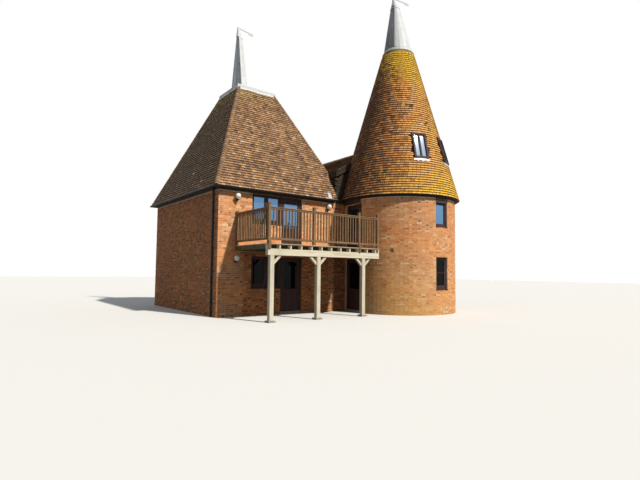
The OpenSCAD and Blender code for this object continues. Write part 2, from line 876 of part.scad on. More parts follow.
module under_stow_roof(y0, y1, gap) {
    profile_along_y(y0, y1)
        polygon([[kiln_len, 0], [stow_x1, 0],
            [stow_x1, ridge_z - stow_tan * (stow_x1 - ridge_x) - slab_t - gap],
            [ridge_x, ridge_z - slab_t - gap], [kiln_len, valley_z - slab_t - gap]]);
}

module stow_wall_link() {
    color(brick) at_origin() difference() {
        intersection() {
            under_stow_roof(0, wall_t, touch);
            slab(kiln_len, 0, 0, ridge_x, wall_t, big);
        }
        tower_space();
    }
}

module stow_wall_east() {
    color(brick) at_origin() difference() {
        intersection() {
            under_stow_roof(0, stow_depth - wall_t, touch);
            slab(ridge_x, 0, 0, stow_x1, stow_depth, big);
        }
        slab(0, wall_t, -low, stow_x1 - wall_t, stow_depth, big);
        tower_space();
        for (share = side_win_shares) {
            stow_east_place(share) rear_hole(low_sill, low_head);
            stow_east_place(share) rear_hole(high_sill, high_head);
        }
    }
}

module stow_wall_back() {
    color(brick) at_origin() {
        difference() {
            under_stow_roof(stow_depth - wall_t, stow_depth, touch);
            stow_back_place() rear_hole(low_sill, low_head);
            stow_back_place() rear_hole(high_sill, high_head);
        }
        slab(kiln_len, kiln_depth, 0, kiln_len + wall_t, stow_depth - wall_t,
            valley_z - slab_t - touch);
    }
}

module stow_roof() {
    west = kiln_len - stow_overhang;
    east = stow_x1 + stow_overhang;
    west_z = ridge_z - stow_tan * (ridge_x - west);
    east_z = ridge_z - stow_tan * (east - ridge_x);
    color(tile) at_origin() difference() {
        profile_along_y(-verge_out, stow_depth + verge_out)
            polygon([[west, west_z], [ridge_x, ridge_z], [east, east_z], [east, east_z - slab_t],
                [ridge_x, ridge_z - slab_t], [west, west_z - slab_t]]);
        slab(0, -big / 2, 0, kiln_len + touch, kiln_depth + kiln_overhang + touch, big);
        tower_cone(cone_gap);
    }
}

// a folded strip of lead in the valley between the square kiln's roof and the stowage's
module valley_lead() {
    left = atan(kiln_tan);
    right = atan(stow_tan);
    left_x = kiln_len - valley_wing * cos(left);
    right_x = kiln_len + valley_wing * cos(right);
    foot_z = valley_z + 2 * touch;
    left_z = foot_z + valley_wing * sin(left);
    right_z = foot_z + valley_wing * sin(right);
    front = (valley_z - kiln_soffit) / kiln_front_tan - kiln_overhang + lead_in;
    color(lead) at_origin() profile_along_y(front, kiln_depth - front)
        polygon([[kiln_len, foot_z],
            [left_x, left_z],
            [left_x + lead_t * sin(left), left_z + lead_t * cos(left)],
            [kiln_len + lead_t / 2, foot_z + 2 * lead_t],
            [right_x - lead_t * sin(right), right_z + lead_t * cos(right)],
            [right_x, right_z]]);
}

// places of the plain repeated windows on the hidden sides, each with its face on the line Y = 0
module kiln_back_place() {
    translate([kiln_len / 2, kiln_depth, 0]) rotate([0, 0, 180]) children();
}

module stow_east_place(share) {
    translate([stow_x1, stow_depth * share, 0]) rotate([0, 0, 90]) children();
}

module stow_back_place() {
    translate([ridge_x, stow_depth, 0]) rotate([0, 0, 180]) children();
}

module rear_hole(z0, z1) {
    slab(-rear_win_w / 2, -low, z0, rear_win_w / 2, wall_t + low, z1);
}

module rear_pair() {
    two_light(-rear_win_w / 2, low_sill, rear_win_w / 2, low_head);
    two_light(-rear_win_w / 2, high_sill, rear_win_w / 2, high_head);
}

module rear_pair_glass() {
    two_light_glass(-rear_win_w / 2, low_sill, rear_win_w / 2, low_head);
    two_light_glass(-rear_win_w / 2, high_sill, rear_win_w / 2, high_head);
}

module rear_windows() {
    color(timber) at_origin() {
        kiln_back_place() rear_pair();
        for (share = side_win_shares) stow_east_place(share) rear_pair();
        stow_back_place() rear_pair();
    }
}

module window_glass() {
    half = tower_win_w / 2 - touch;
    door_half = tower_door_w / 2 - touch - frame_w;
    color(pane) at_origin() {
        two_light_glass(win_x0, low_sill, door_x0, low_head);
        two_light_glass(win_x0, high_sill, door_x0, high_head);
        leaf_glass(door_x0 + frame_w - weld, over_top + frame_w - weld, door_x1 - frame_w + weld,
            high_head - frame_w + weld, fixed_leaf_y);
        tower_face(tower_win_angle) {
            one_light_glass(-half, tower_low_sill + touch, half, tower_low_head - touch);
            one_light_glass(-half, tower_high_sill + touch, half, high_head - touch);
        }
        tower_door_face()
            leaf_glass(-door_half - weld, over_top + frame_w - weld, door_half + weld,
                high_head - touch - frame_w + weld, fixed_leaf_y);
        roof_win_place(roof_win_a) roof_window_glass();
        roof_win_place(roof_win_b) roof_window_glass();
        kiln_back_place() rear_pair_glass();
        for (share = side_win_shares) stow_east_place(share) rear_pair_glass();
        stow_back_place() rear_pair_glass();
    }
}

// floors of the two kilns and the stowage
module stow_floor(z0, z1) {
    difference() {
        slab(kiln_len, wall_t, z0, stow_x1 - wall_t, stow_depth - wall_t, z1);
        slab(kiln_len - low, kiln_depth, z0 - low, kiln_len + wall_t, stow_depth, z1 + low);
        tower_drum(tower_r + round_gap, z0 - low, z1 + low);
    }
}

module floor_ground() {
    color(stone) at_origin() {
        slab(wall_t, wall_t, 0, kiln_len - wall_t, kiln_depth - wall_t, floor_top);
        slab(door_x0, 0, 0, door_x1, wall_t, floor_top);
        tower_drum(tower_in - round_gap, 0, floor_top);
        intersection() {
            difference() {
                tower_drum(tower_r - weld, 0, floor_top);
                tower_drum(tower_in - 2 * round_gap, -low, floor_top + low);
            }
            tower_hole(tower_door_angle, tower_door_w - 2 * touch, -low, floor_top + low);
        }
        stow_floor(0, floor_top);
    }
}

module floor_upper() {
    color(oak) at_origin() {
        slab(wall_t, wall_t, upper_top - upper_t, kiln_len - wall_t, kiln_depth - wall_t, upper_top);
        tower_drum(tower_in - round_gap, upper_top - upper_t, upper_top);
        tower_beam(0);
        stow_floor(upper_top - upper_t, upper_top);
    }
}

// balcony
module brace(x, side) {
    // one slanting brace from a post to the beam, cut level and upright where it meets them
    t = brace_w * sqrt(2);
    translate([x, -bal_reach + (post_w - brace_w) / 2 + brace_w, beam_bottom]) rotate([90, 0, 0])
        linear_extrude(height = brace_w)
            polygon([[side * brace_l, 0], [side * (brace_l - t), 0], [0, -brace_l + t], [0, -brace_l]]);
}

module balcony_posts() {
    color(oak) at_origin() {
        for (i = [0:2]) {
            x = posts[i];
            slab(x, -bal_reach, pad_h, x + post_w, -bal_reach + post_w, beam_bottom);
            brace(x + post_w, 1);
            if (i > 0) brace(x, -1);
        }
    }
}

module balcony_pads() {
    extra = (pad_w - post_w) / 2;
    color(stone) at_origin() for (x = posts)
        slab(x - extra, -bal_reach - extra, 0, x + post_w + extra, -bal_reach + post_w + extra, pad_h);
}

module balcony_frame() {
    count = floor((bal_len - joist_w) / joist_step);
    color(oak) at_origin() difference() {
        union() {
            slab(bal_x0, -bal_reach, beam_bottom, bal_x1, -bal_reach + post_w, beam_top);
            for (i = [0:count]) {
                x = bal_x0 + i * joist_step;
                slab(x, -bal_reach, beam_top, x + joist_w, 0, joist_top);
            }
            slab(bal_x1 - joist_w, -bal_reach, beam_top, bal_x1, 0, joist_top);
            slab(bal_x0, -joist_w, beam_top, bal_x1, 0, joist_top);
        }
        tower_drum(tower_r + round_gap, 0, big / 2);
    }
}

module balcony_deck() {
    color(oak) at_origin() difference() {
        slab(bal_x0, -bal_reach - deck_out, joist_top, bal_x1, 0, deck_top);
        tower_drum(tower_r + round_gap, 0, big / 2);
    }
}

// rails and balusters of one bay along X, between two posts
module bay(length) {
    gaps = ceil(length / bal_step);
    low_z = deck_top + rail_gap;
    translate([-weld, -low_rail_h / 2, low_z]) cube([length + 2 * weld, low_rail_h, low_rail_h]);
    translate([-weld, -rail_w / 2, rail_top - rail_h]) cube([length + 2 * weld, rail_w, rail_h]);
    for (i = [1:gaps - 1])
        translate([i * length / gaps - bal_w / 2, -bal_w / 2, low_z + low_rail_h - weld])
            cube([bal_w, bal_w, rail_top - rail_h - low_z - low_rail_h + 2 * weld]);
}

module newel(x, y, up) {
    half = newel_w / 2;
    cap = half + cap_out;
    slab(x - half, y - half, deck_top, x + half, y + half, rail_top + up);
    slab(x - cap, y - cap, rail_top + up, x + cap, y + cap, rail_top + up + cap_t);
}

module balcony_railing() {
    y = -bal_reach + newel_w / 2;
    half = newel_w / 2;
    wall_newel = -half - cap_out - touch;
    color(guard) at_origin() {
        for (i = [0:3]) newel(newels[i], y, newel_up);
        newel(newels[0], wall_newel, wall_newel_up);
        for (i = [0:2]) {
            length = newels[i + 1] - newels[i] - newel_w;
            translate([newels[i] + half, y, 0]) bay(length);
        }
        translate([newels[0], y + half, 0]) rotate([0, 0, 90]) bay(wall_newel - y - newel_w);
    }
}

// globe lamps on the front wall
module lamp_places() {
    translate([lamp_left, -lamp_out, wall_top - lamp_high]) children();
    translate([kiln_len - lamp_right, -lamp_out, wall_top - lamp_high]) children();
    translate([lamp_left, -lamp_out, low_head - lamp_low]) children();
}

module lamp_brackets() {
    arm_z = -globe_r - arm_w;
    color(black) at_origin() lamp_places() {
        translate([0, lamp_out, arm_z]) rotate([90, 0, 0]) cylinder(h = rose_t, r = rose_r);
        translate([-arm_w / 2, -arm_w / 2, arm_z - arm_w / 2]) cube([arm_w, lamp_out, arm_w]);
        translate([0, 0, arm_z - arm_w]) cylinder(h = holder_h, r = holder_r);
    }
}

module lamp_globes() {
    color(white) at_origin() lamp_places() difference() {
        sphere(r = globe_r);
        sphere(r = globe_r - globe_t);
        translate([0, 0, -globe_r - arm_w]) cylinder(h = holder_h - arm_w, r = globe_r / 2);
    }
}

// a hollow downpipe, held to the side wall by three brackets
module kiln_downpipe() {
    x = -pipe_r - pipe_gap;
    clips = [0.1125, 0.544, 0.843] * wall_top;
    color(black) at_origin() {
        difference() {
            translate([x, pipe_in, 0]) cylinder(h = kiln_soffit - clear, r = pipe_r);
            translate([x, pipe_in, -low]) cylinder(h = kiln_soffit + low, r = pipe_r - pipe_t);
        }
        for (z = clips) difference() {
            slab(x - pipe_r - clear, pipe_in - clip_w / 2, z, 0, pipe_in + clip_w / 2, z + clip_h);
            translate([x, pipe_in, z - low]) cylinder(h = clip_h + 2 * low, r = pipe_r - weld);
        }
    }
}

kiln_wall_front_left();
kiln_wall_front_right();
kiln_wall_front_over();
kiln_wall_west();
kiln_wall_back();
kiln_wall_east();
kiln_wall_plate();
kiln_roof();
kiln_roof_curb();
kiln_cowl();
kiln_windows_front();
kiln_door_frame();
kiln_door_ground();
kiln_door_ground_glass();
kiln_door_upper();
tower_wall_front();
tower_wall_east();
tower_wall_back();
tower_wall_over_door();
tower_wall_plate();
tower_roof();
tower_roof_curb();
tower_cowl();
roof_windows();
tower_windows();
tower_door_frame();
tower_door_ground();
tower_door_ground_glass();
tower_door_upper();
stow_wall_link();
stow_wall_east();
stow_wall_back();
stow_roof();
valley_lead();
rear_windows();
window_glass();
floor_ground();
floor_upper();
balcony_posts();
balcony_pads();
balcony_frame();
balcony_deck();
balcony_railing();
lamp_brackets();
lamp_globes();
kiln_downpipe();
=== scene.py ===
# An oast house: a square kiln and a round kiln with turning cowls, a stowage range and a balcony.
# Metres. +X runs right along the front wall, +Y to the back, +Z up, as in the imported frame.
import json
import math
import random

import bmesh
import bpy
from mathutils import Matrix, Vector


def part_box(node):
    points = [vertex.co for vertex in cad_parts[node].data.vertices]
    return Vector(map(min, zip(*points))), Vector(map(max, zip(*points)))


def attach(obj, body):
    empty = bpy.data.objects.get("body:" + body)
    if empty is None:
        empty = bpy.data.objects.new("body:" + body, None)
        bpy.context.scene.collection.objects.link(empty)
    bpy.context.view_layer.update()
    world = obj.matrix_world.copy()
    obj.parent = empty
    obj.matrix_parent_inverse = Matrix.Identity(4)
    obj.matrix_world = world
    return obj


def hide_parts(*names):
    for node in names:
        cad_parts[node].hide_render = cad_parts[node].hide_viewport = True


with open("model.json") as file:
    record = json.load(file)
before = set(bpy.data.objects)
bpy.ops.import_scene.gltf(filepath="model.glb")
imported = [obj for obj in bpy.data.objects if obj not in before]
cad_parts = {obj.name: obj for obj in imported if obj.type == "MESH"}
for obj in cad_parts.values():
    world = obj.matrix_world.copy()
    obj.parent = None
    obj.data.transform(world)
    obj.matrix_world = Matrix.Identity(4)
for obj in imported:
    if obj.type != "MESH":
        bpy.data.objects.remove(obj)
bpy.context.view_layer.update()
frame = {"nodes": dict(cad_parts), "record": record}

X = Vector((1, 0, 0))
Y = Vector((0, 1, 0))
Z = Vector((0, 0, 1))


def add_object(name, data):
    thing = bpy.data.objects.new(name, data)
    bpy.context.scene.collection.objects.link(thing)
    return thing


# Camera, as fitted to the view: a 25.5 mm lens on a 36 mm sensor, a little turned and tilted up
CAMERA_AT = (-9.570, -18.269, 1.651)
CAMERA_TURN = (37.17, 3.533, 0.632)
SENSOR, LENS, LENS_SHIFT, FAR = 36, 25.546, 0.0054, 400


def aim_camera():
    yaw, pitch, roll = (math.radians(angle) for angle in CAMERA_TURN)
    forward = Vector((math.sin(yaw) * math.cos(pitch), math.cos(yaw) * math.cos(pitch), math.sin(pitch)))
    level = Vector((math.cos(yaw), -math.sin(yaw), 0))
    upright = level.cross(forward)
    right = level * math.cos(roll) + upright * math.sin(roll)
    up = upright * math.cos(roll) - level * math.sin(roll)
    data = bpy.data.cameras.new("camera")
    data.sensor_width = SENSOR
    data.lens = LENS
    data.shift_y = LENS_SHIFT
    data.clip_end = FAR
    camera = add_object("camera", data)
    turn = Matrix((right, up, -forward)).transposed().to_4x4()
    camera.matrix_world = Matrix.Translation(CAMERA_AT) @ turn
    bpy.context.scene.camera = camera


# Light: a soft sun from the front, an even sky, and a white backdrop
SUN_FROM, SUN_ENERGY, SUN_WIDTH = (0.198, -0.679, 0.707), 4.3, 2.5
SUN_COLOUR, SKY_COLOUR, WHITE = (1.0, 0.95, 0.88), (0.78, 0.88, 1.0), (1, 1, 1)
SKY_STRENGTH = 0.32
FLOOR_SIZE, FLOOR_IN_BOUNCES, FLOOR_SEEN = 90, (0.17, 0.165, 0.15), (0.76, 0.75, 0.72)


def fill(tree, node, inputs):
    # each input takes another node's output, a colour or a stretch, or a plain number
    for name, value in inputs.items():
        socket = node.inputs[name]
        if isinstance(value, bpy.types.NodeSocket):
            tree.links.new(value, socket)
        elif hasattr(value, "__len__"):
            socket.default_value = (*value, 1)[: len(socket.default_value)]
        else:
            socket.default_value = value
    return node


def new_node(tree, kind, inputs):
    return fill(tree, tree.nodes.new("ShaderNode" + kind), inputs)


def seen_directly(tree):
    # 1 for what the camera sees, straight or in gloss or glass, and 0 for light that bounces
    rays = tree.nodes.new("ShaderNodeLightPath").outputs
    seen = rays["Is Camera Ray"]
    for name in ("Is Glossy Ray", "Is Transmission Ray"):
        either = new_node(tree, "Math", {0: seen, 1: rays[name]})
        either.operation = "MAXIMUM"
        seen = either.outputs[0]
    return seen


def backdrop(tree, colour, strength):
    return new_node(tree, "Background", {"Color": colour, "Strength": strength}).outputs[0]


def light_the_scene():
    bpy.context.scene.view_settings.view_transform = "Standard"
    data = bpy.data.lights.new("sun", "SUN")
    data.energy = SUN_ENERGY
    data.angle = math.radians(SUN_WIDTH)
    data.color = SUN_COLOUR
    sun = add_object("sun", data)
    sun.matrix_world = Vector(SUN_FROM).to_track_quat("Z", "Y").to_matrix().to_4x4()

    world = bpy.data.worlds.new("world")
    bpy.context.scene.world = world
    world.use_nodes = True
    tree = world.node_tree
    tree.nodes.clear()
    sky, plain = backdrop(tree, SKY_COLOUR, SKY_STRENGTH), backdrop(tree, WHITE, 1.0)
    mix = new_node(tree, "MixShader", {0: seen_directly(tree), 1: sky, 2: plain})
    new_node(tree, "OutputWorld", {0: mix.outputs[0]})


def lay_floor():
    bm = bmesh.new()
    bmesh.ops.create_grid(bm, x_segments=1, y_segments=1, size=FLOOR_SIZE)
    mesh = bpy.data.meshes.new("pale_floor")
    bm.to_mesh(mesh)
    bm.free()
    floor = add_object("pale_floor", mesh)
    look = Look("pale floor", 0.9, 0.2)
    look.colour(look.mix(seen_directly(look.tree), FLOOR_IN_BOUNCES, FLOOR_SEEN))
    mesh.materials.append(look.material)


# Materials: a small kit for procedural looks on Object coordinates or a piece's own attributes
EVEN = (1, 1, 1)


class Look:
    def __init__(self, name, roughness, specular):
        self.material = bpy.data.materials.new(name)
        self.material.use_nodes = True
        self.tree = self.material.node_tree
        self.set("Roughness", roughness)
        self.set("Specular IOR Level", specular)

    def set(self, name, value):
        fill(self.tree, self.tree.nodes["Principled BSDF"], {name: value})

    def node(self, kind, output, inputs):
        return new_node(self.tree, kind, inputs).outputs[output]

    def place(self, stretch=EVEN):
        point = self.node("TexCoord", "Object", {})
        return self.node("Mapping", "Vector", {"Vector": point, "Scale": stretch})

    def noise(self, scale, detail=3, stretch=EVEN, distortion=0.0):
        figure = {"Scale": scale, "Detail": detail, "Distortion": distortion, "Vector": self.place(stretch)}
        return self.node("TexNoise", "Fac", figure)

    def coordinate(self, name):
        return self.node("SeparateXYZ", name, {0: self.place()})

    def axis(self, name, start, end):
        # how far along one object axis, from 0 at start to 1 at end
        return self.span(self.coordinate(name), start, end)

    def courses(self, foot, step):
        # how far up its course a point lies, from 0 at the lower edge to 1 under the next tile
        above = self.math("SUBTRACT", self.coordinate("Z"), foot)
        return self.math("FRACT", self.math("DIVIDE", above, step), 0)

    def attribute(self, name):
        node = self.tree.nodes.new("ShaderNodeAttribute")
        node.attribute_name = name
        return node.outputs["Fac"]

    def span(self, value, start, end, least=0.0, most=1.0):
        ends = {"From Min": start, "From Max": end, "To Min": least, "To Max": most}
        return self.node("MapRange", "Result", {"Value": value, **ends})

    def math(self, operation, a, b):
        node = new_node(self.tree, "Math", {0: a, 1: b})
        node.operation = operation
        return node.outputs[0]

    def ramp(self, value, *stops):
        node = new_node(self.tree, "ValToRGB", {"Fac": value})
        while len(node.color_ramp.elements) < len(stops):
            node.color_ramp.elements.new(1)
        for element, (position, colour) in zip(node.color_ramp.elements, stops):
            element.position = position
            element.color = (*colour, 1)
        return node.outputs["Color"]

    def mix(self, factor, a, b, blend="MIX"):
        node = self.tree.nodes.new("ShaderNodeMix")
        node.data_type = "RGBA"
        node.blend_type = blend
        return fill(self.tree, node, {"Factor": factor, "A": a, "B": b}).outputs["Result"]

    def mottle(self, scale, detail, dark, light, ends=(0.3, 0.7), stretch=EVEN, distortion=0.0):
        # two colours that run into each other
        figure = self.noise(scale, detail, stretch, distortion)
        return self.ramp(figure, (ends[0], dark), (ends[1], light))

    def patched(self, base, scale, detail, ends, share, colour, stretch=EVEN):
        # patches of another colour, at most so strong
        return self.mix(self.span(self.noise(scale, detail, stretch), *ends, 0.0, share), base, colour)

    def colour(self, value):
        self.set("Base Color", value)

    def relief(self, scale, detail, strength, distance, stretch=EVEN):
        # the surface's fine roughness, which finishes the material
        height = self.noise(scale, detail, stretch)
        bump = {"Strength": strength, "Distance": distance, "Height": height}
        self.set("Normal", self.node("Bump", "Normal", bump))
        return self.material


# Colours of clay, from the darkest tile or brick to the palest
KILN_FIRED = (
    (0.00, (0.050, 0.030, 0.018)),
    (0.22, (0.130, 0.070, 0.038)),
    (0.50, (0.250, 0.138, 0.070)),
    (0.74, (0.380, 0.220, 0.110)),
    (0.90, (0.500, 0.350, 0.200)),
    (1.00, (0.660, 0.570, 0.410)),
)
CONE_FIRED = (
    (0.00, (0.048, 0.022, 0.012)),
    (0.22, (0.120, 0.050, 0.022)),
    (0.50, (0.290, 0.118, 0.036)),
    (0.74, (0.470, 0.205, 0.060)),
    (0.90, (0.560, 0.300, 0.105)),
    (1.00, (0.640, 0.500, 0.300)),
)
SHADED_FIRED = (
    (0.00, (0.016, 0.012, 0.010)),
    (0.30, (0.026, 0.019, 0.014)),
    (0.70, (0.046, 0.032, 0.022)),
    (1.00, (0.100, 0.070, 0.045)),
)
BRICK_FIRED = (
    (0.00, (0.150, 0.054, 0.030)),
    (0.18, (0.350, 0.120, 0.048)),
    (0.45, (0.620, 0.228, 0.082)),
    (0.70, (0.780, 0.340, 0.122)),
    (0.88, (0.820, 0.450, 0.200)),
    (1.00, (0.800, 0.590, 0.370)),
)

# Colours of lichen and moss
SHADED_LICHEN = (
    (0.30, (0.030, 0.026, 0.012)),
    (0.72, (0.090, 0.075, 0.035)),
)
KILN_LICHEN = (
    (0.30, (0.130, 0.105, 0.030)),
    (0.52, (0.330, 0.260, 0.080)),
    (0.72, (0.480, 0.400, 0.170)),
)
CONE_LICHEN = (
    (0.30, (0.215, 0.140, 0.014)),
    (0.52, (0.500, 0.320, 0.030)),
    (0.72, (0.700, 0.470, 0.070)),
)

# Other colours, each as a dark and a light one
LIME = (0.640, 0.520, 0.360), (0.800, 0.690, 0.520)
# the west wall's mortar, darkened as painted shade
SHADED_WEST_LIME = (0.360, 0.270, 0.160), (0.480, 0.390, 0.260)
SHADED_LINK_LIME = (0.230, 0.150, 0.085), (0.330, 0.230, 0.140)
LINK_PAINTED_SHADOW = (0.018, 0.014, 0.011), (0.040, 0.028, 0.020)
FASCIA_WITH_EAVES_SHADE = (0.020, 0.013, 0.010), (0.060, 0.038, 0.026)
WHITE_PAINT = (0.560, 0.575, 0.580), (0.680, 0.695, 0.700)
# paler than the outside paint, as painted light in the cowl's shaded inside
INSIDE_PAINT_LIGHTENED = (0.850, 0.860, 0.880), (0.930, 0.940, 0.960)
WEATHERED_OAK = (0.54, 0.48, 0.35), (0.78, 0.72, 0.56)
DECK_OAK = (0.40, 0.31, 0.19), (0.62, 0.52, 0.36)
GUARD_TIMBER = (0.140, 0.080, 0.037), (0.300, 0.188, 0.098)
FLOOR_BOARDS = (0.22, 0.14, 0.08), (0.38, 0.27, 0.16)
BEDDING = (0.030, 0.022, 0.016), (0.085, 0.055, 0.036)
DARK_STAIN = (0.040, 0.020, 0.020), (0.088, 0.044, 0.040)
IRON = (0.012, 0.012, 0.013), (0.040, 0.038, 0.036)
LEAD = (0.270, 0.280, 0.290), (0.560, 0.565, 0.560)
SCREED = (0.300, 0.270, 0.230), (0.450, 0.415, 0.360)

# How timber's figure is stretched: little along its own length
UPRIGHT, LEVEL, DEEP = (1, 1, 0.07), (0.07, 1, 1), (1, 0.07, 1)
ALONG_BALUSTERS = (1, 1, 0.15)


def clay_tile_look(name, fired, lichen, speck=(0.56, 0.49, 0.36), courses=None):
    look = Look(name, 0.85, 0.25)
    clay = look.ramp(look.attribute("tone"), *fired)
    clay = look.patched(clay, 5.0, 5, (0.35, 0.75), 0.42, (0.095, 0.062, 0.040))
    clay = look.patched(clay, 30.0, 2, (0.58, 0.70), 0.62, speck)
    spread = look.span(look.noise(7.0, 6, distortion=0.4), 0.25, 0.75, -0.5, 0.5)
    growth = look.math("ADD", look.attribute("lichen"), spread)
    clay = look.mix(look.span(growth, 0.35, 0.75, 0.0, 0.92), clay, look.ramp(look.noise(15.0, 4), *lichen))
    if courses:
        # painted highlight on each tile's lower lip, and painted shadow under the next course's edge and on
        # the tile's own lower end
        up = look.courses(*courses)
        clay = look.mix(look.span(up, 0.12, 0.64, 1.0, 0.0), clay, (2.35, 2.25, 2.05), "MULTIPLY")
        painted_shade = look.math("MAXIMUM", look.span(up, 0.62, 0.84), look.span(up, 0.12, 0.04))
        clay = look.mix(painted_shade, clay, (0.24, 0.21, 0.20), "MULTIPLY")
    look.colour(clay)
    return look.relief(60.0, 5, 0.45, 0.006)


def brick_look():
    look = Look("stock bricks", 0.88, 0.2)
    clay = look.ramp(look.attribute("tone"), *BRICK_FIRED)
    clay = look.patched(clay, 1.6, 5, (0.42, 0.80), 0.40, (0.330, 0.140, 0.062))
    clay = look.patched(clay, 30.0, 3, (0.35, 0.75), 0.30, (0.720, 0.360, 0.150))
    clay = look.patched(clay, 55.0, 2, (0.66, 0.74), 0.45, (0.700, 0.560, 0.420))
    stain = look.math("ADD", look.attribute("stain"), look.span(look.noise(3.0, 5), 0.2, 0.8, -0.35, 0.35))
    look.colour(look.mix(look.span(stain, 0.25, 1.0, 0.0, 0.55), clay, (0.690, 0.420, 0.120)))
    return look.relief(85.0, 4, 0.5, 0.004)


def mortar_look(name, sand=LIME, painted_shade=False):
    look = Look(name, 0.95, 0.15)
    joints = look.mottle(12.0, 5, *sand, (0.25, 0.75))
    joints = look.patched(joints, 1.7, 4, (0.3, 0.8), 0.5, (0.42, 0.29, 0.17))
    if painted_shade:
        # painted shade under the balcony: the joints darkened below the deck
        below = look.math("MULTIPLY", look.axis("Z", 2.42, 2.30), look.axis("X", -2.0, -1.7))
        joints = look.mix(below, joints, (0.210, 0.125, 0.060))
    look.colour(joints)
    return look.relief(120.0, 3, 0.5, 0.003)


def white_paint_look(name, paint):
    look = Look(name, 0.55, 0.35)
    coat = look.mottle(4.0, 4, *paint, (0.25, 0.70))
    dirt = tuple(0.55 * c for c in paint[0])
    look.colour(look.patched(coat, 9.0, 4, (0.55, 0.80), 0.30, dirt, (3, 3, 0.35)))
    return look.relief(24.0, 3, 0.25, 0.004, (3, 3, 0.3))


def timber_look(name, wood, grain, roughness=0.8, green=0.0):
    look = Look(name, roughness, 0.3)
    figure = look.mottle(16.0, 5, *wood, (0.28, 0.72), grain, 0.6)
    aged = look.span(look.attribute("tone"), 0, 1, 0.0, 0.45)
    figure = look.mix(aged, figure, tuple(0.55 * c for c in wood[0]))
    if green:
        figure = look.patched(figure, 2.6, 5, (0.50, 0.80), green, (0.22, 0.24, 0.12))
    look.colour(figure)
    return look.relief(34.0, 4, 0.35, 0.003, grain)


def framing_look():
    # pale as painted sunlight on the front, and green and darkened as painted shade further under the deck
    look = Look("balcony framing", 0.8, 0.25)
    front = look.mottle(16.0, 5, (0.540, 0.480, 0.350), (0.780, 0.720, 0.560), (0.28, 0.72), LEVEL, 0.6)
    front = look.patched(front, 2.6, 5, (0.50, 0.80), 0.30, (0.240, 0.260, 0.130))
    shaded_green_underside = look.mottle(7.0, 4, (0.055, 0.052, 0.026), (0.150, 0.125, 0.065))
    look.colour(look.mix(look.axis("Y", -5.56, -5.50), front, shaded_green_underside))
    return look.relief(34.0, 4, 0.35, 0.003, LEVEL)


def mossy_shaded_curb_look():
    # moss-grown boards, darkened all round as painted shade under the cowl
    look = Look("mossy curb boards with painted shade", 0.85, 0.2)
    wood = look.mottle(8.0, 4, (0.110, 0.085, 0.045), (0.340, 0.300, 0.180))
    look.colour(look.patched(wood, 5.0, 5, (0.4, 0.7), 0.8, (0.260, 0.220, 0.040)))
    return look.relief(30.0, 3, 0.3, 0.003)


def plain_look(name, roughness, specular, colours, relief, metallic=0.0):
    look = Look(name, roughness, specular)
    look.colour(look.mottle(*colours))
    look.set("Metallic", metallic)
    return look.relief(*relief)


def two_level_look(name, roughness, specular, levels, below, above, relief):
    # one finish below a level and another above it
    look = Look(name, roughness, specular)
    look.colour(look.mix(look.axis("Z", *levels), look.mottle(*below), look.mottle(*above)))
    return look.relief(*relief)


def plate_look(name, brick_top):
    # mortar where the bricks run on over the plate, and dark board above them, made near black as painted
    # eaves shade
    levels = (brick_top - 0.001, brick_top + 0.001)
    sand, board = (12.0, 5, *LIME, (0.25, 0.75)), (6.0, 5, *FASCIA_WITH_EAVES_SHADE, (0.3, 0.72))
    return two_level_look(name, 0.8, 0.2, levels, sand, board, (60.0, 3, 0.3, 0.003))


def link_mortar_look():
    # darkened as painted shade in its corner, and near black as painted shadow behind the hung tiles
    sand, soot = (12.0, 5, *SHADED_LINK_LIME, (0.25, 0.75)), (9.0, 4, *LINK_PAINTED_SHADOW)
    return two_level_look("link mortar with painted shade", 0.95, 0.1, (4.50, 4.60), sand, soot, (90.0, 3, 0.4, 0.003))


def glass_look():
    # painted reflections: the upper panes carry the sky's blue with painted clouds, and the lower ones are
    # painted dark as the shade of the rooms
    look = Look("window glass with painted sky", 0.05, 0.15)
    painted_sky_and_room_tint = look.ramp(
        look.axis("Z", 0.0, 8.0),
        (0.00, (0.005, 0.006, 0.005)),
        (0.30, (0.007, 0.008, 0.008)),
        (0.42, (0.115, 0.250, 0.460)),
        (0.58, (0.150, 0.310, 0.520)),
        (0.72, (0.300, 0.385, 0.510)),
        (1.00, (0.350, 0.430, 0.540)),
    )
    painted_cloud_reflection = look.span(look.noise(1.3, 3), 0.35, 0.75, 0.0, 0.30)
    painted_cloud_reflection = look.math("MULTIPLY", painted_cloud_reflection, look.axis("Z", 2.4, 2.9))
    sky = look.mix(painted_cloud_reflection, painted_sky_and_room_tint, look.mix(0.5, painted_sky_and_room_tint, (0.30, 0.34, 0.38)))
    # the panes in the corner between the kiln and the tower are painted near black as shade
    corner = look.math("MULTIPLY", look.axis("X", 2.3, 2.5), look.axis("X", 3.8, 3.6))
    look.colour(look.mix(look.math("MULTIPLY", corner, 0.85), sky, (0.014, 0.015, 0.014)))
    look.set("IOR", 1.45)
    # the upper panes are metallic, so their painted blue mirrors the white backdrop as a painted sky
    # reflection
    look.set("Metallic", look.span(look.axis("Z", 5.0, 5.6), 0.0, 1.0, 0.75, 0.20))
    return look.relief(2.2, 2, 0.05, 0.01)


def opal_look():
    look = Look("opal glass", 0.18, 0.5)
    look.colour((0.88, 0.87, 0.83))
    look.set("Subsurface Weight", 0.15)
    return look.relief(30.0, 2, 0.05, 0.001)


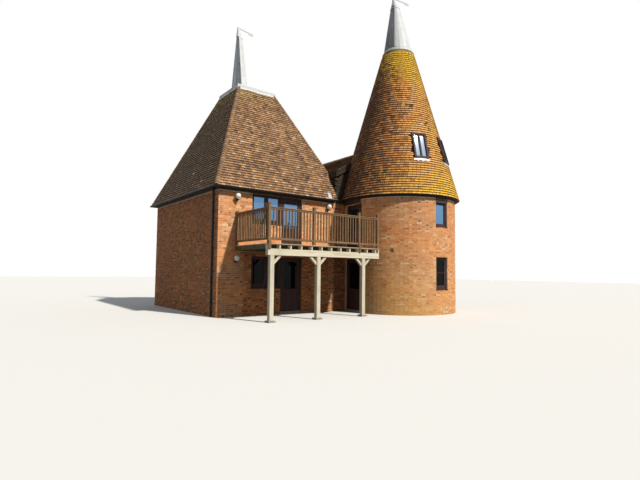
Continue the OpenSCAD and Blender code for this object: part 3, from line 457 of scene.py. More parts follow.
# Shapes that are stamped many times, each copy with its own tone
class Shape:
    def __init__(self, name, bm, *layers):
        self.layers = layers
        for layer in layers:
            bm.faces.layers.float.new(layer)
        self.mesh = bpy.data.meshes.new(name)
        bm.to_mesh(self.mesh)
        bm.free()
        self.rest = [0.0] * (3 * len(self.mesh.vertices))
        self.mesh.vertices.foreach_get("co", self.rest)

    def stamp(self, bm, matrix, *values):
        self.mesh.vertices.foreach_set("co", self.rest)
        self.mesh.transform(matrix)
        for layer, value in zip(self.layers, values):
            self.mesh.attributes[layer].data.foreach_set("value", [value] * len(self.mesh.polygons))
        bm.from_mesh(self.mesh)


def new_bmesh(*layers):
    bm = bmesh.new()
    for layer in layers:
        bm.faces.layers.float.new(layer)
    return bm


def piece(name, bm, material, body="house", replaces=()):
    mesh = bpy.data.meshes.new(name)
    bm.to_mesh(mesh)
    bm.free()
    mesh.materials.append(material)
    thing = add_object(name, mesh)
    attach(thing, body)
    if replaces:
        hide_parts(*replaces)
    return thing


def basis(along, out, up, at):
    # a matrix whose X, Y and Z are these directions, moved to a point
    matrix = Matrix((along, out, up)).transposed().to_4x4()
    return Matrix.Translation(at) @ matrix


def moved(*at):
    return Matrix.Translation(at)


def scaled(x, y, z):
    return Matrix.Diagonal((x, y, z, 1))


def turned(degrees, axis):
    return Matrix.Rotation(math.radians(degrees), 4, axis)


def heading(angle):
    return Vector((math.cos(angle), math.sin(angle), 0))


def leftward(angle):
    return Vector((-math.sin(angle), math.cos(angle), 0))


def thicken(bm, thickness):
    bmesh.ops.solidify(bm, geom=bm.faces[:], thickness=thickness)
    bmesh.ops.recalc_face_normals(bm, faces=bm.faces)


def barrel(bm, place, low_r, high_r, depth, segments, capped=True):
    bmesh.ops.create_cone(
        bm, cap_ends=capped, segments=segments, radius1=low_r, radius2=high_r, depth=depth, matrix=place
    )


def channel(radius, segments, open_side, length):
    # an open half pipe along Y; vertices past the open side are taken off
    bm = bmesh.new()
    bmesh.ops.create_circle(bm, radius=radius, segments=segments, matrix=turned(90, "X"))
    bmesh.ops.delete(bm, geom=[v for v in bm.verts if open_side(v.co.z)], context="VERTS")
    walls = bmesh.ops.extrude_edge_only(bm, edges=bm.edges[:])["geom"]
    far_end = [v for v in walls if isinstance(v, bmesh.types.BMVert)]
    bmesh.ops.translate(bm, vec=(0, length, 0), verts=far_end)
    return bm


def brick_shape():
    # a unit block from 0 to 1 along X, from -0.5 to 0.5 out along Y, from 0 to 1 up Z
    bm = bmesh.new()
    bmesh.ops.create_cube(bm, size=1, matrix=moved(0.5, 0, 0.5))
    return Shape("brick", bm, "tone", "stain")


def tile_shape():
    # a unit plain tile, a little arched: X across from -0.5 to 0.5, Y up the slope, Z its thickness
    bm = bmesh.new()
    bmesh.ops.create_cube(bm, size=1, matrix=moved(0, 0.5, 0.5))
    across = [e for e in bm.edges if abs(e.verts[0].co.x - e.verts[1].co.x) > 0.5]
    bmesh.ops.subdivide_edges(bm, edges=across, cuts=1)
    for vertex in bm.verts:
        if abs(vertex.co.x) < 0.1:
            vertex.co.z += 0.22
    bmesh.ops.recalc_face_normals(bm, faces=bm.faces)
    return Shape("tile", bm, "tone", "lichen")


def bonnet_shape():
    # half a short clay pipe, open below, along Y from 0 to 1, a unit wide
    bm = channel(0.5, 12, lambda z: z < -0.01, 1)
    thicken(bm, 0.10)
    return Shape("bonnet", bm, "tone", "lichen")


def timber(bm, start, end, chamfer=0.004, tone=0.5):
    # one squared timber between two corners, its arrises taken off; a metal bar has no tone
    start, end = Vector(start), Vector(end)
    one = new_bmesh() if tone is None else new_bmesh("tone")
    bmesh.ops.create_cube(one, size=1, matrix=Matrix.Translation((end + start) / 2) @ scaled(*(end - start)))
    if chamfer:
        bmesh.ops.bevel(
            one, geom=one.edges, offset=chamfer, segments=1, profile=0.5, affect="EDGES", material=-1
        )
    if tone is not None:
        layer = one.faces.layers.float["tone"]
        for face in one.faces:
            face[layer] = tone
    merge(bm, one)


def merge(bm, part, matrix=None):
    if matrix is not None:
        bmesh.ops.transform(part, matrix=matrix, verts=part.verts)
    mesh = bpy.data.meshes.new("part")
    part.to_mesh(mesh)
    part.free()
    bm.from_mesh(mesh)
    bpy.data.meshes.remove(mesh)


# The frame's main sizes
def low(name):
    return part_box(name)[0]


def high(name):
    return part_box(name)[1]


CURB_OUT = 0.025
west, kiln_front = low("kiln_wall_west").x, low("kiln_wall_front_left").y
kiln_east, kiln_back = high("kiln_wall_east").x, high("kiln_wall_back").y
wall_top = high("kiln_wall_west").z
roof_low, roof_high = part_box("kiln_roof")
roof_rise = roof_high.z - roof_low.z
foot_x, foot_y = -roof_low.x, -roof_low.y
rim_half = high("kiln_roof_curb").x - CURB_OUT
cone_low, cone_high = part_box("tower_roof")
tower = Vector(((cone_low.x + cone_high.x) / 2, (cone_low.y + cone_high.y) / 2, 0))
tower_r = (high("tower_wall_plate").x - low("tower_wall_plate").x) / 2
eaves_r = (cone_high.x - cone_low.x) / 2
cone_top_r = (high("tower_roof_curb").x - low("tower_roof_curb").x) / 2 - CURB_OUT
cone_rise, cone_run = cone_high.z - cone_low.z, eaves_r - cone_top_r
cone_slant = math.hypot(cone_rise, cone_run)
stow_low, stow_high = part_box("stow_roof")
stow_east, stow_back = high("stow_wall_east").x, high("stow_wall_back").y
ridge_x = tower.x
valley_z = roof_high.z - (kiln_east - rim_half) * roof_rise / (foot_x - rim_half)
stow_fall = (stow_high.z - valley_z) / (ridge_x - kiln_east)
# half the width that the round kiln takes out of the front wall's line
link_half = math.sqrt(tower_r ** 2 - (kiln_front - tower.y) ** 2)

# Openings, as levels and widths; the brickwork runs on over part of the wall plates
KILN_BRICK_TOP, TOWER_BRICK_TOP = 4.54, 4.615
LOW_SILL, LOW_HEAD, HIGH_SILL, OVER_TOP, NO_TOP = 0.98, 2.19, 3.42, 2.52, 9
window_x0 = low("kiln_windows_front").x
door_x0, door_x1 = low("kiln_door_upper").x, high("kiln_door_upper").x
REAR_WINDOW_W = 1.27
TOWER_DOORS, TOWER_DOOR_HALF = 171.75, 0.59
TOWER_WINDOW, TOWER_WINDOW_HALF = 269, 0.34
TOWER_LIGHTS = ((0.97, 2.28), (3.45, wall_top))
STOW_WINDOWS = (2.94, 6.86)
ROOF_WINDOWS, ROOF_WINDOW_Z, ROOF_WINDOW_HALF_W, ROOF_WINDOW_HALF_L = (249, 291), 6.75, 0.34, 0.575
FRAME_W, SILL_H, SILL_OUT, FRAME_FRONT, FRAME_BACK = 0.060, 0.045, 0.035, 0.060, 0.150
SASH_W, SASH_FRONT, GLASS_FRONT, GLASS_T, FLAT_IN = 0.050, 0.070, 0.098, 0.014, 0.020

# Sizes of the balcony
deck_low, deck_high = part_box("balcony_deck")
deck_length = deck_high.x - deck_low.x
BEAM_TOP, RAIL_TOP = 2.373, deck_high.z + 1.187
RAIL_GAP, LOW_RAIL_H = 0.115, 0.070
NEWEL_W, BALUSTER_W, BALUSTER_STEP = 0.095, 0.040, 0.125
POST_W, BRACE_L, BRACE_W = 0.155, 0.320, 0.085
BOARD_W, BOARD_GAP = 0.125, 0.006
# where the posts and the front newels stand, as shares of the deck's length
POST_SHARES, NEWEL_SHARES, FIRST_POST = (0.3993, 0.825), (0.375, 0.7975), 0.09


def stow_z(x):
    return stow_high.z - stow_fall * abs(x - ridge_x)


def cone_r(z):
    return eaves_r + (cone_top_r - eaves_r) * ((z - cone_low.z) / cone_rise)


# Brickwork
STOW_SLAB = 0.235
COURSE, BRICK_H, JOINT = 0.075, 0.063, 0.012
STRETCHER, HEADER = 0.215, 0.1025
PROUD, SHORTEST = 0.004, 0.03


def brick_run(length, course):
    # the bricks of one course in Flemish bond, as start, end and whether it is a header
    bond = STRETCHER + HEADER + 2 * JOINT
    at = -random.uniform(0, 0.004) - (bond / 2 if course % 2 else 0) - bond
    runs = []
    header = False
    while at < length:
        size = HEADER if header else STRETCHER
        runs.append((at, at + size, header))
        at += size + JOINT
        header = not header
    return runs


def outside(start, end, gaps):
    # what is left of a stretch when the gaps are taken out
    left = [(start, end)]
    for gap_start, gap_end in gaps:
        left = [part for a, b in left for part in ((a, min(b, gap_start)), (max(a, gap_end), b))]
    return [(a, b) for a, b in left if b - a > SHORTEST]


def laid(length, height, openings):
    # each brick of a face as its level, start, end and whether it is a header, cut round openings
    for course in range(int(height / COURSE)):
        z = course * COURSE + JOINT
        gaps = [(s0, s1) for s0, s1, z0, z1 in openings if z0 < z + BRICK_H / 2 < z1]
        for a, b, header in brick_run(length, course):
            for s0, s1 in outside(max(a, 0), min(b, length), gaps):
                yield z, s0, s1, header


def brick_tone(header):
    tone = random.gauss(0.56, 0.13)
    if header and random.random() < 0.20:
        tone -= 0.30
    if random.random() < 0.035:
        tone = random.uniform(0.84, 0.98)
    return min(1, max(0, tone))


def lay_wall(bm, start, along, out, length, height, openings=(), top=None, shade=0.0):
    # flat brickwork on a wall face, cut round its openings and under a sloping top
    for z, x0, x1, header in laid(length, height, openings):
        if top and z + BRICK_H > min(top(x0), top(x1)):
            continue
        proud = PROUD + random.uniform(-0.0012, 0.0016)
        level = Z * (z + random.uniform(-0.001, 0.001))
        place = start + along * x0 + level + out * (proud / 2 - 0.002)
        turn = Matrix.Rotation(random.gauss(0, 0.003), 4, "Y")
        tone = max(0, brick_tone(header) + (shade(x0, z) if callable(shade) else shade))
        size = scaled(x1 - x0, proud + 0.004, BRICK_H)
        BRICK.stamp(bm, basis(along, out, Z, place) @ turn @ size, tone, 0.0)


def lay_drum(bm, height, openings, shown):
    # brickwork round the tower, cut round its openings and left out where it isn't shown
    for z, s0, s1, header in laid(2 * math.pi * tower_r, height, openings):
        angle = (s0 + s1) / 2 / tower_r
        out, along = heading(angle), leftward(angle)
        if not shown(tower + out * tower_r):
            continue
        proud = PROUD + random.uniform(-0.0012, 0.0020)
        place = tower + out * (tower_r - 0.0025 + proud / 2) - along * (s1 - s0) / 2 + Z * z
        size = scaled(s1 - s0, proud + 0.005, BRICK_H)
        # stained yellow low down on the left, and paler in the band at its foot
        lower = max(0, 1 - z / 3.2)
        left = max(0, -math.cos(angle - math.radians(20)))
        spot = 0.20 + 0.55 * lower * (0.35 + left) + random.uniform(-0.08, 0.08)
        tone = brick_tone(header) + (0.20 if 0.12 < z < 0.27 else 0.06)
        BRICK.stamp(bm, basis(along, out, Z, place) @ size, min(1, tone), spot)


def tower_gap(angle, half, foot, top):
    # an opening in the drum, as its arc and its levels
    middle, reach = math.radians(angle) * tower_r, math.asin(half / tower_r) * tower_r
    return middle - reach, middle + reach, foot, top


def two_storeys(x0, x1, top=NO_TOP):
    return [(x0, x1, LOW_SILL, LOW_HEAD), (x0, x1, HIGH_SILL, top)]


def rear_pair(middle, top=NO_TOP):
    return two_storeys(middle - REAR_WINDOW_W / 2, middle + REAR_WINDOW_W / 2, top)


def under_stow_roof(x):
    return stow_z(x) - STOW_SLAB - 0.01


def brick_piece(name, look, *walls):
    bm = new_bmesh("tone", "stain")
    for wall, options in walls:
        lay_wall(bm, *wall, **options)
    piece(name, bm, look)


def build_brickwork(look):
    front = Vector((west, kiln_front, 0))
    kiln_length = kiln_east - west
    door0, door1 = door_x0 - west, door_x1 - west
    openings = two_storeys(window_x0 - west, door0)
    openings += [(door0, door1, 0, LOW_HEAD), (door0, door1, OVER_TOP, NO_TOP)]

    # painted shadow of the balcony: the bricks below the deck are laid darker
    def balcony_shadow(x, z):
        return -0.20 if z < 2.35 and x > 0.92 else 0.0

    wall = (front, X, -Y, kiln_length, KILN_BRICK_TOP, openings)
    brick_piece("front_bricks", look, (wall, {"shade": balcony_shadow}))
    # the west wall's bricks are laid darker as painted shade
    wall = (Vector((west, kiln_back, 0)), -Y, -X, kiln_back - kiln_front, KILN_BRICK_TOP)
    brick_piece("west_bricks", look, (wall, {"shade": -0.31}))
    rear0 = kiln_length / 2 - REAR_WINDOW_W / 2
    openings = two_storeys(rear0, rear0 + REAR_WINDOW_W)
    wall = (Vector((kiln_east, kiln_back, 0)), -X, Y, kiln_length, KILN_BRICK_TOP, openings)
    brick_piece("kiln_back_bricks", look, (wall, {}))

    bm = new_bmesh("tone", "stain")
    doors = ((0, LOW_HEAD), (OVER_TOP, NO_TOP))
    lights = (TOWER_LIGHTS[0], (TOWER_LIGHTS[1][0], NO_TOP))
    openings = [tower_gap(TOWER_DOORS, TOWER_DOOR_HALF, *levels) for levels in doors]
    openings += [tower_gap(TOWER_WINDOW, TOWER_WINDOW_HALF, *levels) for levels in lights]
    lay_drum(bm, TOWER_BRICK_TOP, openings, lambda point: point.y < kiln_front + 0.01)
    piece("tower_bricks", bm, look)


def build_stowage_bricks(look):
    east_start = ridge_x + link_half
    link = (Vector((kiln_east, kiln_front, 0)), X, -Y, ridge_x - link_half - kiln_east, KILN_BRICK_TOP)
    # painted shade on the link's bricks, deeper below the balcony's level
    under_link = {
        "top": lambda x: under_stow_roof(kiln_east + x),
        "shade": lambda x, z: -0.46 if z < 2.35 else -0.26,
    }
    right = (Vector((east_start, kiln_front, 0)), X, -Y, stow_east - east_start, high("stow_wall_link").z)
    under_right = {"top": lambda x: under_stow_roof(east_start + x)}
    brick_piece("stowage_front_bricks", look, (link, under_link), (right, under_right))

    windows = rear_pair(STOW_WINDOWS[0], wall_top) + rear_pair(STOW_WINDOWS[1], wall_top)
    corner = Vector((stow_east, kiln_front, 0))
    wall = (corner, Y, X, stow_back - kiln_front, under_stow_roof(stow_east), windows)
    brick_piece("stowage_east_bricks", look, (wall, {}))

    windows = rear_pair(stow_east - ridge_x, wall_top)
    wall = (Vector((stow_east, stow_back, 0)), -X, Y, stow_east - kiln_east, stow_high.z, windows)
    brick_piece("stowage_back_bricks", look, (wall, {"top": lambda x: under_stow_roof(stow_east - x)}))

    corner = Vector((kiln_east, stow_back, 0))
    wall = (corner, -Y, -X, stow_back - kiln_back, under_stow_roof(kiln_east))
    brick_piece("stowage_west_bricks", look, (wall, {}))


# Tiling
KILN_GAUGE, CONE_GAUGE, HUNG_GAUGE = 0.120, 0.105, 0.1
TILE_W, TILE_LAP, TILE_GAP, TILE_T, TILT = 0.165, 0.026, 0.010, 0.016, 0.027


def tile_tone(shade=0.0):
    tone = random.gauss(0.55, 0.17) + shade
    tone = min(tone, 0.84)
    if random.random() < 0.003:
        tone = random.uniform(0.88, 1.0)
    if random.random() < 0.025:
        tone = random.uniform(0.0, 0.2)
    return min(1, max(0, tone))


def lay_tile(bm, at, along, up, out, width, gauge, lichen, shade=0.0):
    length = gauge + TILE_LAP + random.uniform(-0.002, 0.004)
    lift = random.uniform(0.0, 0.003)
    tilt = Matrix.Rotation(-math.asin((TILT + lift) / length), 4, "X")
    skew = Matrix.Rotation(random.gauss(0, 0.012), 4, "Z")
    raised = at + out * (TILT + lift + 0.002)
    place = basis(along, up, out, raised) @ skew @ tilt @ scaled(width, length, TILE_T)
    TILE.stamp(bm, place, tile_tone(shade), lichen)


def tile_slope(name, look, foot, along, up, slope_length, edges, lichen, skip=None, shade=0.0):
    # plain tiles on a flat slope; edges(s) gives the slope's left and right end at a distance up it
    bm = new_bmesh("tone", "lichen")
    out = along.cross(up)
    for course in range(int(slope_length / KILN_GAUGE)):
        s = course * KILN_GAUGE
        left, right = edges(s + KILN_GAUGE * 0.6)
        shift = TILE_W / 2 if course % 2 else 0
        x = math.floor((left - shift) / TILE_W) * TILE_W + shift
        while x < right:
            a, b = max(x, left), min(x + TILE_W, right)
            x += TILE_W
            if b - a < SHORTEST:
                continue
            at = foot + along * (a + b) / 2 + up * s
            if skip and skip(at):
                continue
            lay_tile(bm, at, along, up, out, b - a - TILE_GAP, KILN_GAUGE, lichen(at), shade)
    piece(name, bm, look)


def build_kiln_tiles(look, side_look):
    def near_top(at):
        share = (at.z - roof_low.z) / roof_rise
        return 0.62 * max(0, share - 0.62) / 0.38 + random.uniform(-0.30, 0.12)

    def past_wall(at):
        return at.x > kiln_east - 0.02

    # the west slope's tiles are laid darker as painted shade
    slopes = (
        ("front", X, look, -math.inf, kiln_east, None, 0.0),
        ("back", -X, look, -kiln_east, math.inf, None, 0.0),
        ("west", -Y, side_look, -math.inf, math.inf, None, -0.62),
        ("east", Y, side_look, -math.inf, math.inf, past_wall, 0.0),
    )
    for name, along, clay, first, last, skip, shade in slopes:
        inward = Z.cross(along)
        reach, half = (foot_y, foot_x) if along.x else (foot_x, foot_y)
        run = reach - rim_half
        slope = math.hypot(roof_rise, run)
        up = (inward * run + Z * roof_rise).normalized()
        foot = Z * roof_low.z - inward * reach

        def hips(s):
            end = half - (half - rim_half) * s / slope
            return max(-end, first), min(end, last)

        tile_slope("kiln_tiles_" + name, clay, foot, along, up, slope, hips, near_top, skip, shade)


def cone_lichen_and_painted_light(angle, height):
    # lichen is thick at the top, on the right and near the eaves; the left side is darkened as painted shade
    # and the front lightened as painted sunlight
    sunny = 0.5 + 0.5 * math.cos(angle - math.radians(300))
    top = max(0, height - 0.66) / 0.34
    foot = max(0, 0.22 - height) / 0.22
    lichen = -0.10 + 0.62 * sunny ** 2 + 0.95 * top + 0.55 * foot * sunny
    dark = max(0, -math.cos(angle - math.radians(330)))
    front = max(0, math.cos(angle - math.radians(258))) ** 4
    return lichen + random.uniform(-0.24, 0.16), -0.46 * dark + 0.32 * front + 0.03


def in_roof_window(angle, z, radius):
    for middle in ROOF_WINDOWS:
        away = abs(math.remainder(angle - math.radians(middle), 2 * math.pi)) * radius
        reach = ROOF_WINDOW_HALF_L * cone_rise / cone_slant
        if away < ROOF_WINDOW_HALF_W + 0.04 and abs(z - ROOF_WINDOW_Z) < reach + 0.02:
            return True
    return False


def build_cone_tiles(look):
    bm = new_bmesh("tone", "lichen")
    for course in range(int(cone_slant / CONE_GAUGE)):
        s = course * CONE_GAUGE
        z = cone_low.z + s * cone_rise / cone_slant
        radius = cone_r(z)
        count = round(2 * math.pi * radius / TILE_W)
        shift = random.random() if course % 5 == 0 else (0.5 if course % 2 else 0)
        for i in range(count):
            angle = (i + shift) * 2 * math.pi / count
            level, along = heading(angle), leftward(angle)
            up = (Z * cone_rise - level * cone_run).normalized()
            at = tower + level * radius + Z * z
            if at.y > kiln_front - 0.10 and z < stow_z(at.x) - 0.12:
                continue
            if in_roof_window(angle, z + CONE_GAUGE * 0.6, radius):
                continue
            width = 2 * math.pi * radius / count - TILE_GAP
            lichen, shade = cone_lichen_and_painted_light(angle, s / cone_slant)
            lay_tile(bm, at, along, up, along.cross(up), width, CONE_GAUGE, lichen, shade)
    piece("tower_tiles", bm, look)


def build_stowage_tiles(look):
    middle_y = (stow_low.y + stow_high.y) / 2
    half = (stow_high.y - stow_low.y) / 2

    def round_cone(at):
        away = Vector((at.x - tower.x, at.y - tower.y)).length
        return at.z > cone_low.z and away < cone_r(at.z) + 0.05

    def over_kiln(at):
        return (at.y < foot_y and at.x < kiln_east + 0.02) or round_cone(at)

    def sparse(_):
        return random.uniform(-0.45, 0.15)

    def verges(_):
        return -half, half

    # the west slope's tiles are laid darker as painted shade
    sides = (("east", Y, stow_high.x, round_cone, 0.0), ("west", -Y, stow_low.x, over_kiln, -0.24))
    for side, along, x, skip, shade in sides:
        run = abs(x - ridge_x)
        up = (Z.cross(along) * run + Z * (stow_fall * run)).normalized()
        foot, slope = Vector((x, middle_y, stow_z(x))), math.hypot(run, stow_fall * run)
        name = "stowage_tiles_" + side
        tile_slope(name, look, foot, along, up, slope, verges, sparse, skip, shade)


HIPS = (("front_left", -1, -1), ("front_right", 1, -1), ("back_left", -1, 1), ("back_right", 1, 1))
HIP_W, HIP_H, RIDGE_W, RIDGE_L = 0.150, 0.13, 0.24, 0.30


def build_hips(look):
    for name, sx, sy in HIPS:
        start = Vector((sx * foot_x, sy * foot_y, roof_low.z))
        end = Vector((sx * rim_half, sy * rim_half, roof_high.z))
        up = (end - start).normalized()
        level_out = Vector((sx * (foot_y - rim_half), sy * (foot_x - rim_half), 0)).normalized()
        out = (level_out - up * level_out.dot(up)).normalized()
        along = up.cross(out)
        count = int(math.hypot(roof_rise, foot_y - rim_half) / KILN_GAUGE)
        step = (end - start).length / count
        shape = turned(-7, "X") @ scaled(HIP_W, step * 1.35, HIP_H)
        bm = new_bmesh("tone", "lichen")
        for i in range(count):
            at = start + up * step * i
            if at.x > kiln_east:
                continue
            lift = out * (-0.040 + random.uniform(-0.003, 0.003))
            tone = random.uniform(0.34, 0.70)
            place = basis(along, up, out, at + lift + out * 0.018) @ shape
            BONNET.stamp(bm, place, tone, random.uniform(-0.4, 0.2))
        piece("kiln_hip_" + name, bm, look)


def build_ridge(look):
    bm = new_bmesh("tone", "lichen")
    start = tower.y + cone_r(stow_high.z) - 0.05
    count = int((stow_high.y - start) / RIDGE_L)
    step = (stow_high.y - start) / count
    for i in range(count):
        at = Vector((ridge_x, start + step * i, stow_high.z - 0.045))
        place = basis(-X, -Y, Z, at + Y * step) @ scaled(RIDGE_W, step - 0.006, RIDGE_W)
        BONNET.stamp(bm, place, tile_tone(0.1), random.uniform(-0.4, 0.2))
    piece("stowage_ridge", bm, look)


def build_link_tiles(look):
    # tiles hung on the gable between the two roofs, dark as painted shade
    bm = new_bmesh("tone", "lichen")
    foot_z = roof_low.z - 0.02
    for course in range(int((stow_z(ridge_x - link_half + 0.6) - foot_z) / HUNG_GAUGE)):
        z = foot_z + course * HUNG_GAUGE
        shift = TILE_W / 2 if course % 2 else 0
        for i in range(9):
            x = kiln_east + shift + (i - 0.5) * TILE_W
            level = math.hypot(x + TILE_W / 2 - tower.x, kiln_front - tower.y)
            inside = cone_r(z) if z > cone_low.z else tower_r
            if z + 0.11 > stow_z(x) - STOW_SLAB or level < inside or x < kiln_east:
                continue
            at = Vector((x + TILE_W / 2, kiln_front - 0.004, z))
            lay_tile(bm, at, X, Z, -Y, TILE_W - TILE_GAP, HUNG_GAUGE, -0.5, -0.30)
    piece("link_hung_tiles", bm, look)


# Openings, each as a frame of its own: X along the wall, Y into it, Z up, from the middle at ground level
def face_frame(x, y, angle):
    return moved(x, y, 0) @ turned(angle, "Z")


def tower_frame(angle):
    at = tower + heading(math.radians(angle)) * (tower_r - FLAT_IN)
    return face_frame(at.x, at.y, angle + 90)


def placed(bm, place, chamfer, *bars):
    # timbers between two corners each, in a frame of their own
    one = new_bmesh("tone")
    for low_corner, high_corner in bars:
        timber(one, low_corner, high_corner, chamfer)
    merge(bm, one, place)


def sash(bm, place, x0, z0, x1, z1, width=SASH_W, bars=0):
    # a sash of four timbers in front of one pane, with level glazing bars if it has any
    y0, y1 = SASH_FRONT, GLASS_FRONT - 0.001
    one = new_bmesh("tone")
    for a, b in ((x0, x0 + width), (x1 - width, x1)):
        timber(one, (a, y0, z0), (b, y1, z1), 0.004, random.uniform(0.2, 0.7))
    for a, b in ((z0, z0 + width * 1.3), (z1 - width, z1)):
        timber(one, (x0 + width, y0 + 0.001, a), (x1 - width, y1, b), 0.004, random.uniform(0.2, 0.7))
    for i in range(bars):
        z = z0 + (z1 - z0) * (i + 1) / (bars + 1)
        timber(one, (x0 + width, y0 + 0.004, z - 0.011), (x1 - width, y1, z + 0.011), 0.003, 0.4)
    merge(bm, one, place)


def paired_sashes(bm, place, x0, z0, x1, z1):
    middle = (x0 + x1) / 2
    sill = z0 + SILL_H + FRAME_W
    sash(bm, place, x0 + FRAME_W, sill, middle - FRAME_W / 2, z1 - FRAME_W)
    sash(bm, place, middle + FRAME_W / 2, sill, x1 - FRAME_W, z1 - FRAME_W)


def window_frame(bm, place, x0, z0, x1, z1, middles=()):
    # sill, jambs, head and mullions of a window that replaces a plainer one
    foot = z0 + SILL_H
    placed(bm, place, 0.006, ((x0, -SILL_OUT, z0), (x1, FRAME_BACK, foot)))
    bars = []
    for a, b in ((foot, foot + FRAME_W), (z1 - FRAME_W, z1)):
        bars.append(((x0 + FRAME_W, FRAME_FRONT, a), (x1 - FRAME_W, FRAME_BACK, b)))
    for x in (x0, x1 - FRAME_W, *middles):
        bars.append(((x, FRAME_FRONT, foot), (x + FRAME_W, FRAME_BACK, z1)))
    placed(bm, place, 0.004, *bars)


KILN_FRAME, TOWER_WINDOW_FRAME = face_frame(0, kiln_front, 0), tower_frame(TOWER_WINDOW)
KILN_REAR_FRAME = face_frame((west + kiln_east) / 2, kiln_back, 180)
KILN_LIGHTS = ((LOW_SILL, LOW_HEAD), (HIGH_SILL, KILN_BRICK_TOP))


def build_window_frames(look):
    bm = new_bmesh("tone")
    middle = (window_x0 + door_x0 - FRAME_W) / 2
    for sill, head in KILN_LIGHTS:
        window_frame(bm, KILN_FRAME, window_x0, sill, door_x0, head, (middle,))
    transom = (door_x0, FRAME_FRONT, wall_top), (door_x1, FRAME_BACK, KILN_BRICK_TOP)
    placed(bm, KILN_FRAME, 0.004, transom)
    piece("kiln_window_frames", bm, look, replaces=("kiln_windows_front",))

    bm = new_bmesh("tone")
    half = TOWER_WINDOW_HALF - 0.001
    for sill, head in TOWER_LIGHTS:
        window_frame(bm, TOWER_WINDOW_FRAME, -half, sill, half, head)
    piece("tower_window_frames", bm, look, replaces=("tower_windows",))


def build_sashes(look):
    bm = new_bmesh("tone")
    for sill, head in KILN_LIGHTS:
        paired_sashes(bm, KILN_FRAME, window_x0, sill, door_x0, head)
    piece("kiln_front_sashes", bm, look)

    bm = new_bmesh("tone")
    half = REAR_WINDOW_W / 2
    rear = [KILN_REAR_FRAME, face_frame(ridge_x, stow_back, 180)]
    rear += [face_frame(stow_east, kiln_front + y, 90) for y in STOW_WINDOWS]
    for place in rear:
        paired_sashes(bm, place, -half, LOW_SILL, half, LOW_HEAD)
        paired_sashes(bm, place, -half, HIGH_SILL, half, wall_top)
    piece("rear_sashes", bm, look)

    bm = new_bmesh("tone")
    x = TOWER_WINDOW_HALF - FRAME_W
    for (sill, head), (width, bars) in zip(TOWER_LIGHTS, ((0.060, 1), (0.032, 0))):
        sash(bm, TOWER_WINDOW_FRAME, -x, sill + SILL_H + FRAME_W, x, head - FRAME_W, width, bars)
    piece("tower_sashes", bm, look)


def build_added_panes(look):
    # glass where the new frames leave more open than the ones they replace
    bm = new_bmesh("tone")
    middle = (window_x0 + door_x0) / 2
    half, back = FRAME_W / 2, GLASS_FRONT + GLASS_T
    foot, top = wall_top - FRAME_W + 0.001, KILN_BRICK_TOP - FRAME_W
    panes = ((window_x0 + FRAME_W, middle - half), (middle + half, door_x0 - FRAME_W))
    placed(bm, KILN_FRAME, 0, *(((a, GLASS_FRONT, foot), (b, back, top)) for a, b in panes))
    reach = TOWER_WINDOW_HALF - FRAME_W
    for sill, head in TOWER_LIGHTS:
        z = (sill + SILL_H + head) / 2
        placed(bm, TOWER_WINDOW_FRAME, 0, ((-reach, GLASS_FRONT, z - half), (reach, back, z + half)))
    piece("added_panes", bm, look)


def build_kiln_plate(look):
    # the wall plate, cut away over the upper window, whose head stands higher
    (x0, y0, z0), (x3, y3, top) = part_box("kiln_wall_plate")
    thick = high("kiln_wall_front_left").y - kiln_front
    x1, y1, y2 = x0 + thick, y0 + thick, y3 - thick
    bm = new_bmesh("tone")
    timber(bm, (x0, y0, z0), (x1, y3, top), 0)
    timber(bm, (x1, y0, z0), (window_x0, y1, top), 0)
    timber(bm, (window_x0, y0, KILN_BRICK_TOP), (door_x1, y1, top), 0)
    timber(bm, (door_x1, y0, z0), (x3, y1, top), 0)
    timber(bm, (x1, y2, z0), (x3, y3, top), 0)
    piece("kiln_plate", bm, look, replaces=("kiln_wall_plate",))


VENT_ANGLE, VENT_Z = 217.7, 2.51


def build_tower_vent(look):
    # a small louvred vent in the tower's brickwork
    bars = [((x, -0.012, -0.07), (x + 0.015, 0.01, 0.07)) for x in (-0.06, 0.045)]
    for z in (-0.065, -0.035, -0.005, 0.025, 0.050):
        bars.append(((-0.045, -0.010, z), (0.045, 0.006, z + 0.016)))
    bm = new_bmesh("tone")
    placed(bm, tower_frame(VENT_ANGLE) @ moved(0, -FLAT_IN, VENT_Z), 0.003, *bars)
    piece("tower_vent", bm, look)


def build_fascia(look):
    # boards on the wall plates, under the tiles, made near black as painted eaves shade
    bm = new_bmesh("tone")
    foot, top, thick, end = KILN_BRICK_TOP + 0.004, roof_low.z - 0.002, 0.016, kiln_east - 0.01
    timber(bm, (west - thick, kiln_front - thick, foot), (end, kiln_front, top), 0.003)
    timber(bm, (west - thick, kiln_front, foot), (west, kiln_back, top), 0.003)
    timber(bm, (west - thick, kiln_back, foot), (end, kiln_back + thick, top), 0.003)
    # head boards over the upper openings, where the frames end below the brickwork's top; near black as
    # painted eaves shade
    heads = (
        (KILN_REAR_FRAME, REAR_WINDOW_W / 2, KILN_BRICK_TOP),
        (TOWER_WINDOW_FRAME, TOWER_WINDOW_HALF, TOWER_BRICK_TOP),
        (tower_frame(TOWER_DOORS), TOWER_DOOR_HALF, TOWER_BRICK_TOP),
    )
    for place, half, top in heads:
        placed(bm, place, 0.002, ((-half, -FLAT_IN - 0.004, wall_top + 0.001), (half, 0.0, top)))
    piece("kiln_fascia", bm, look)


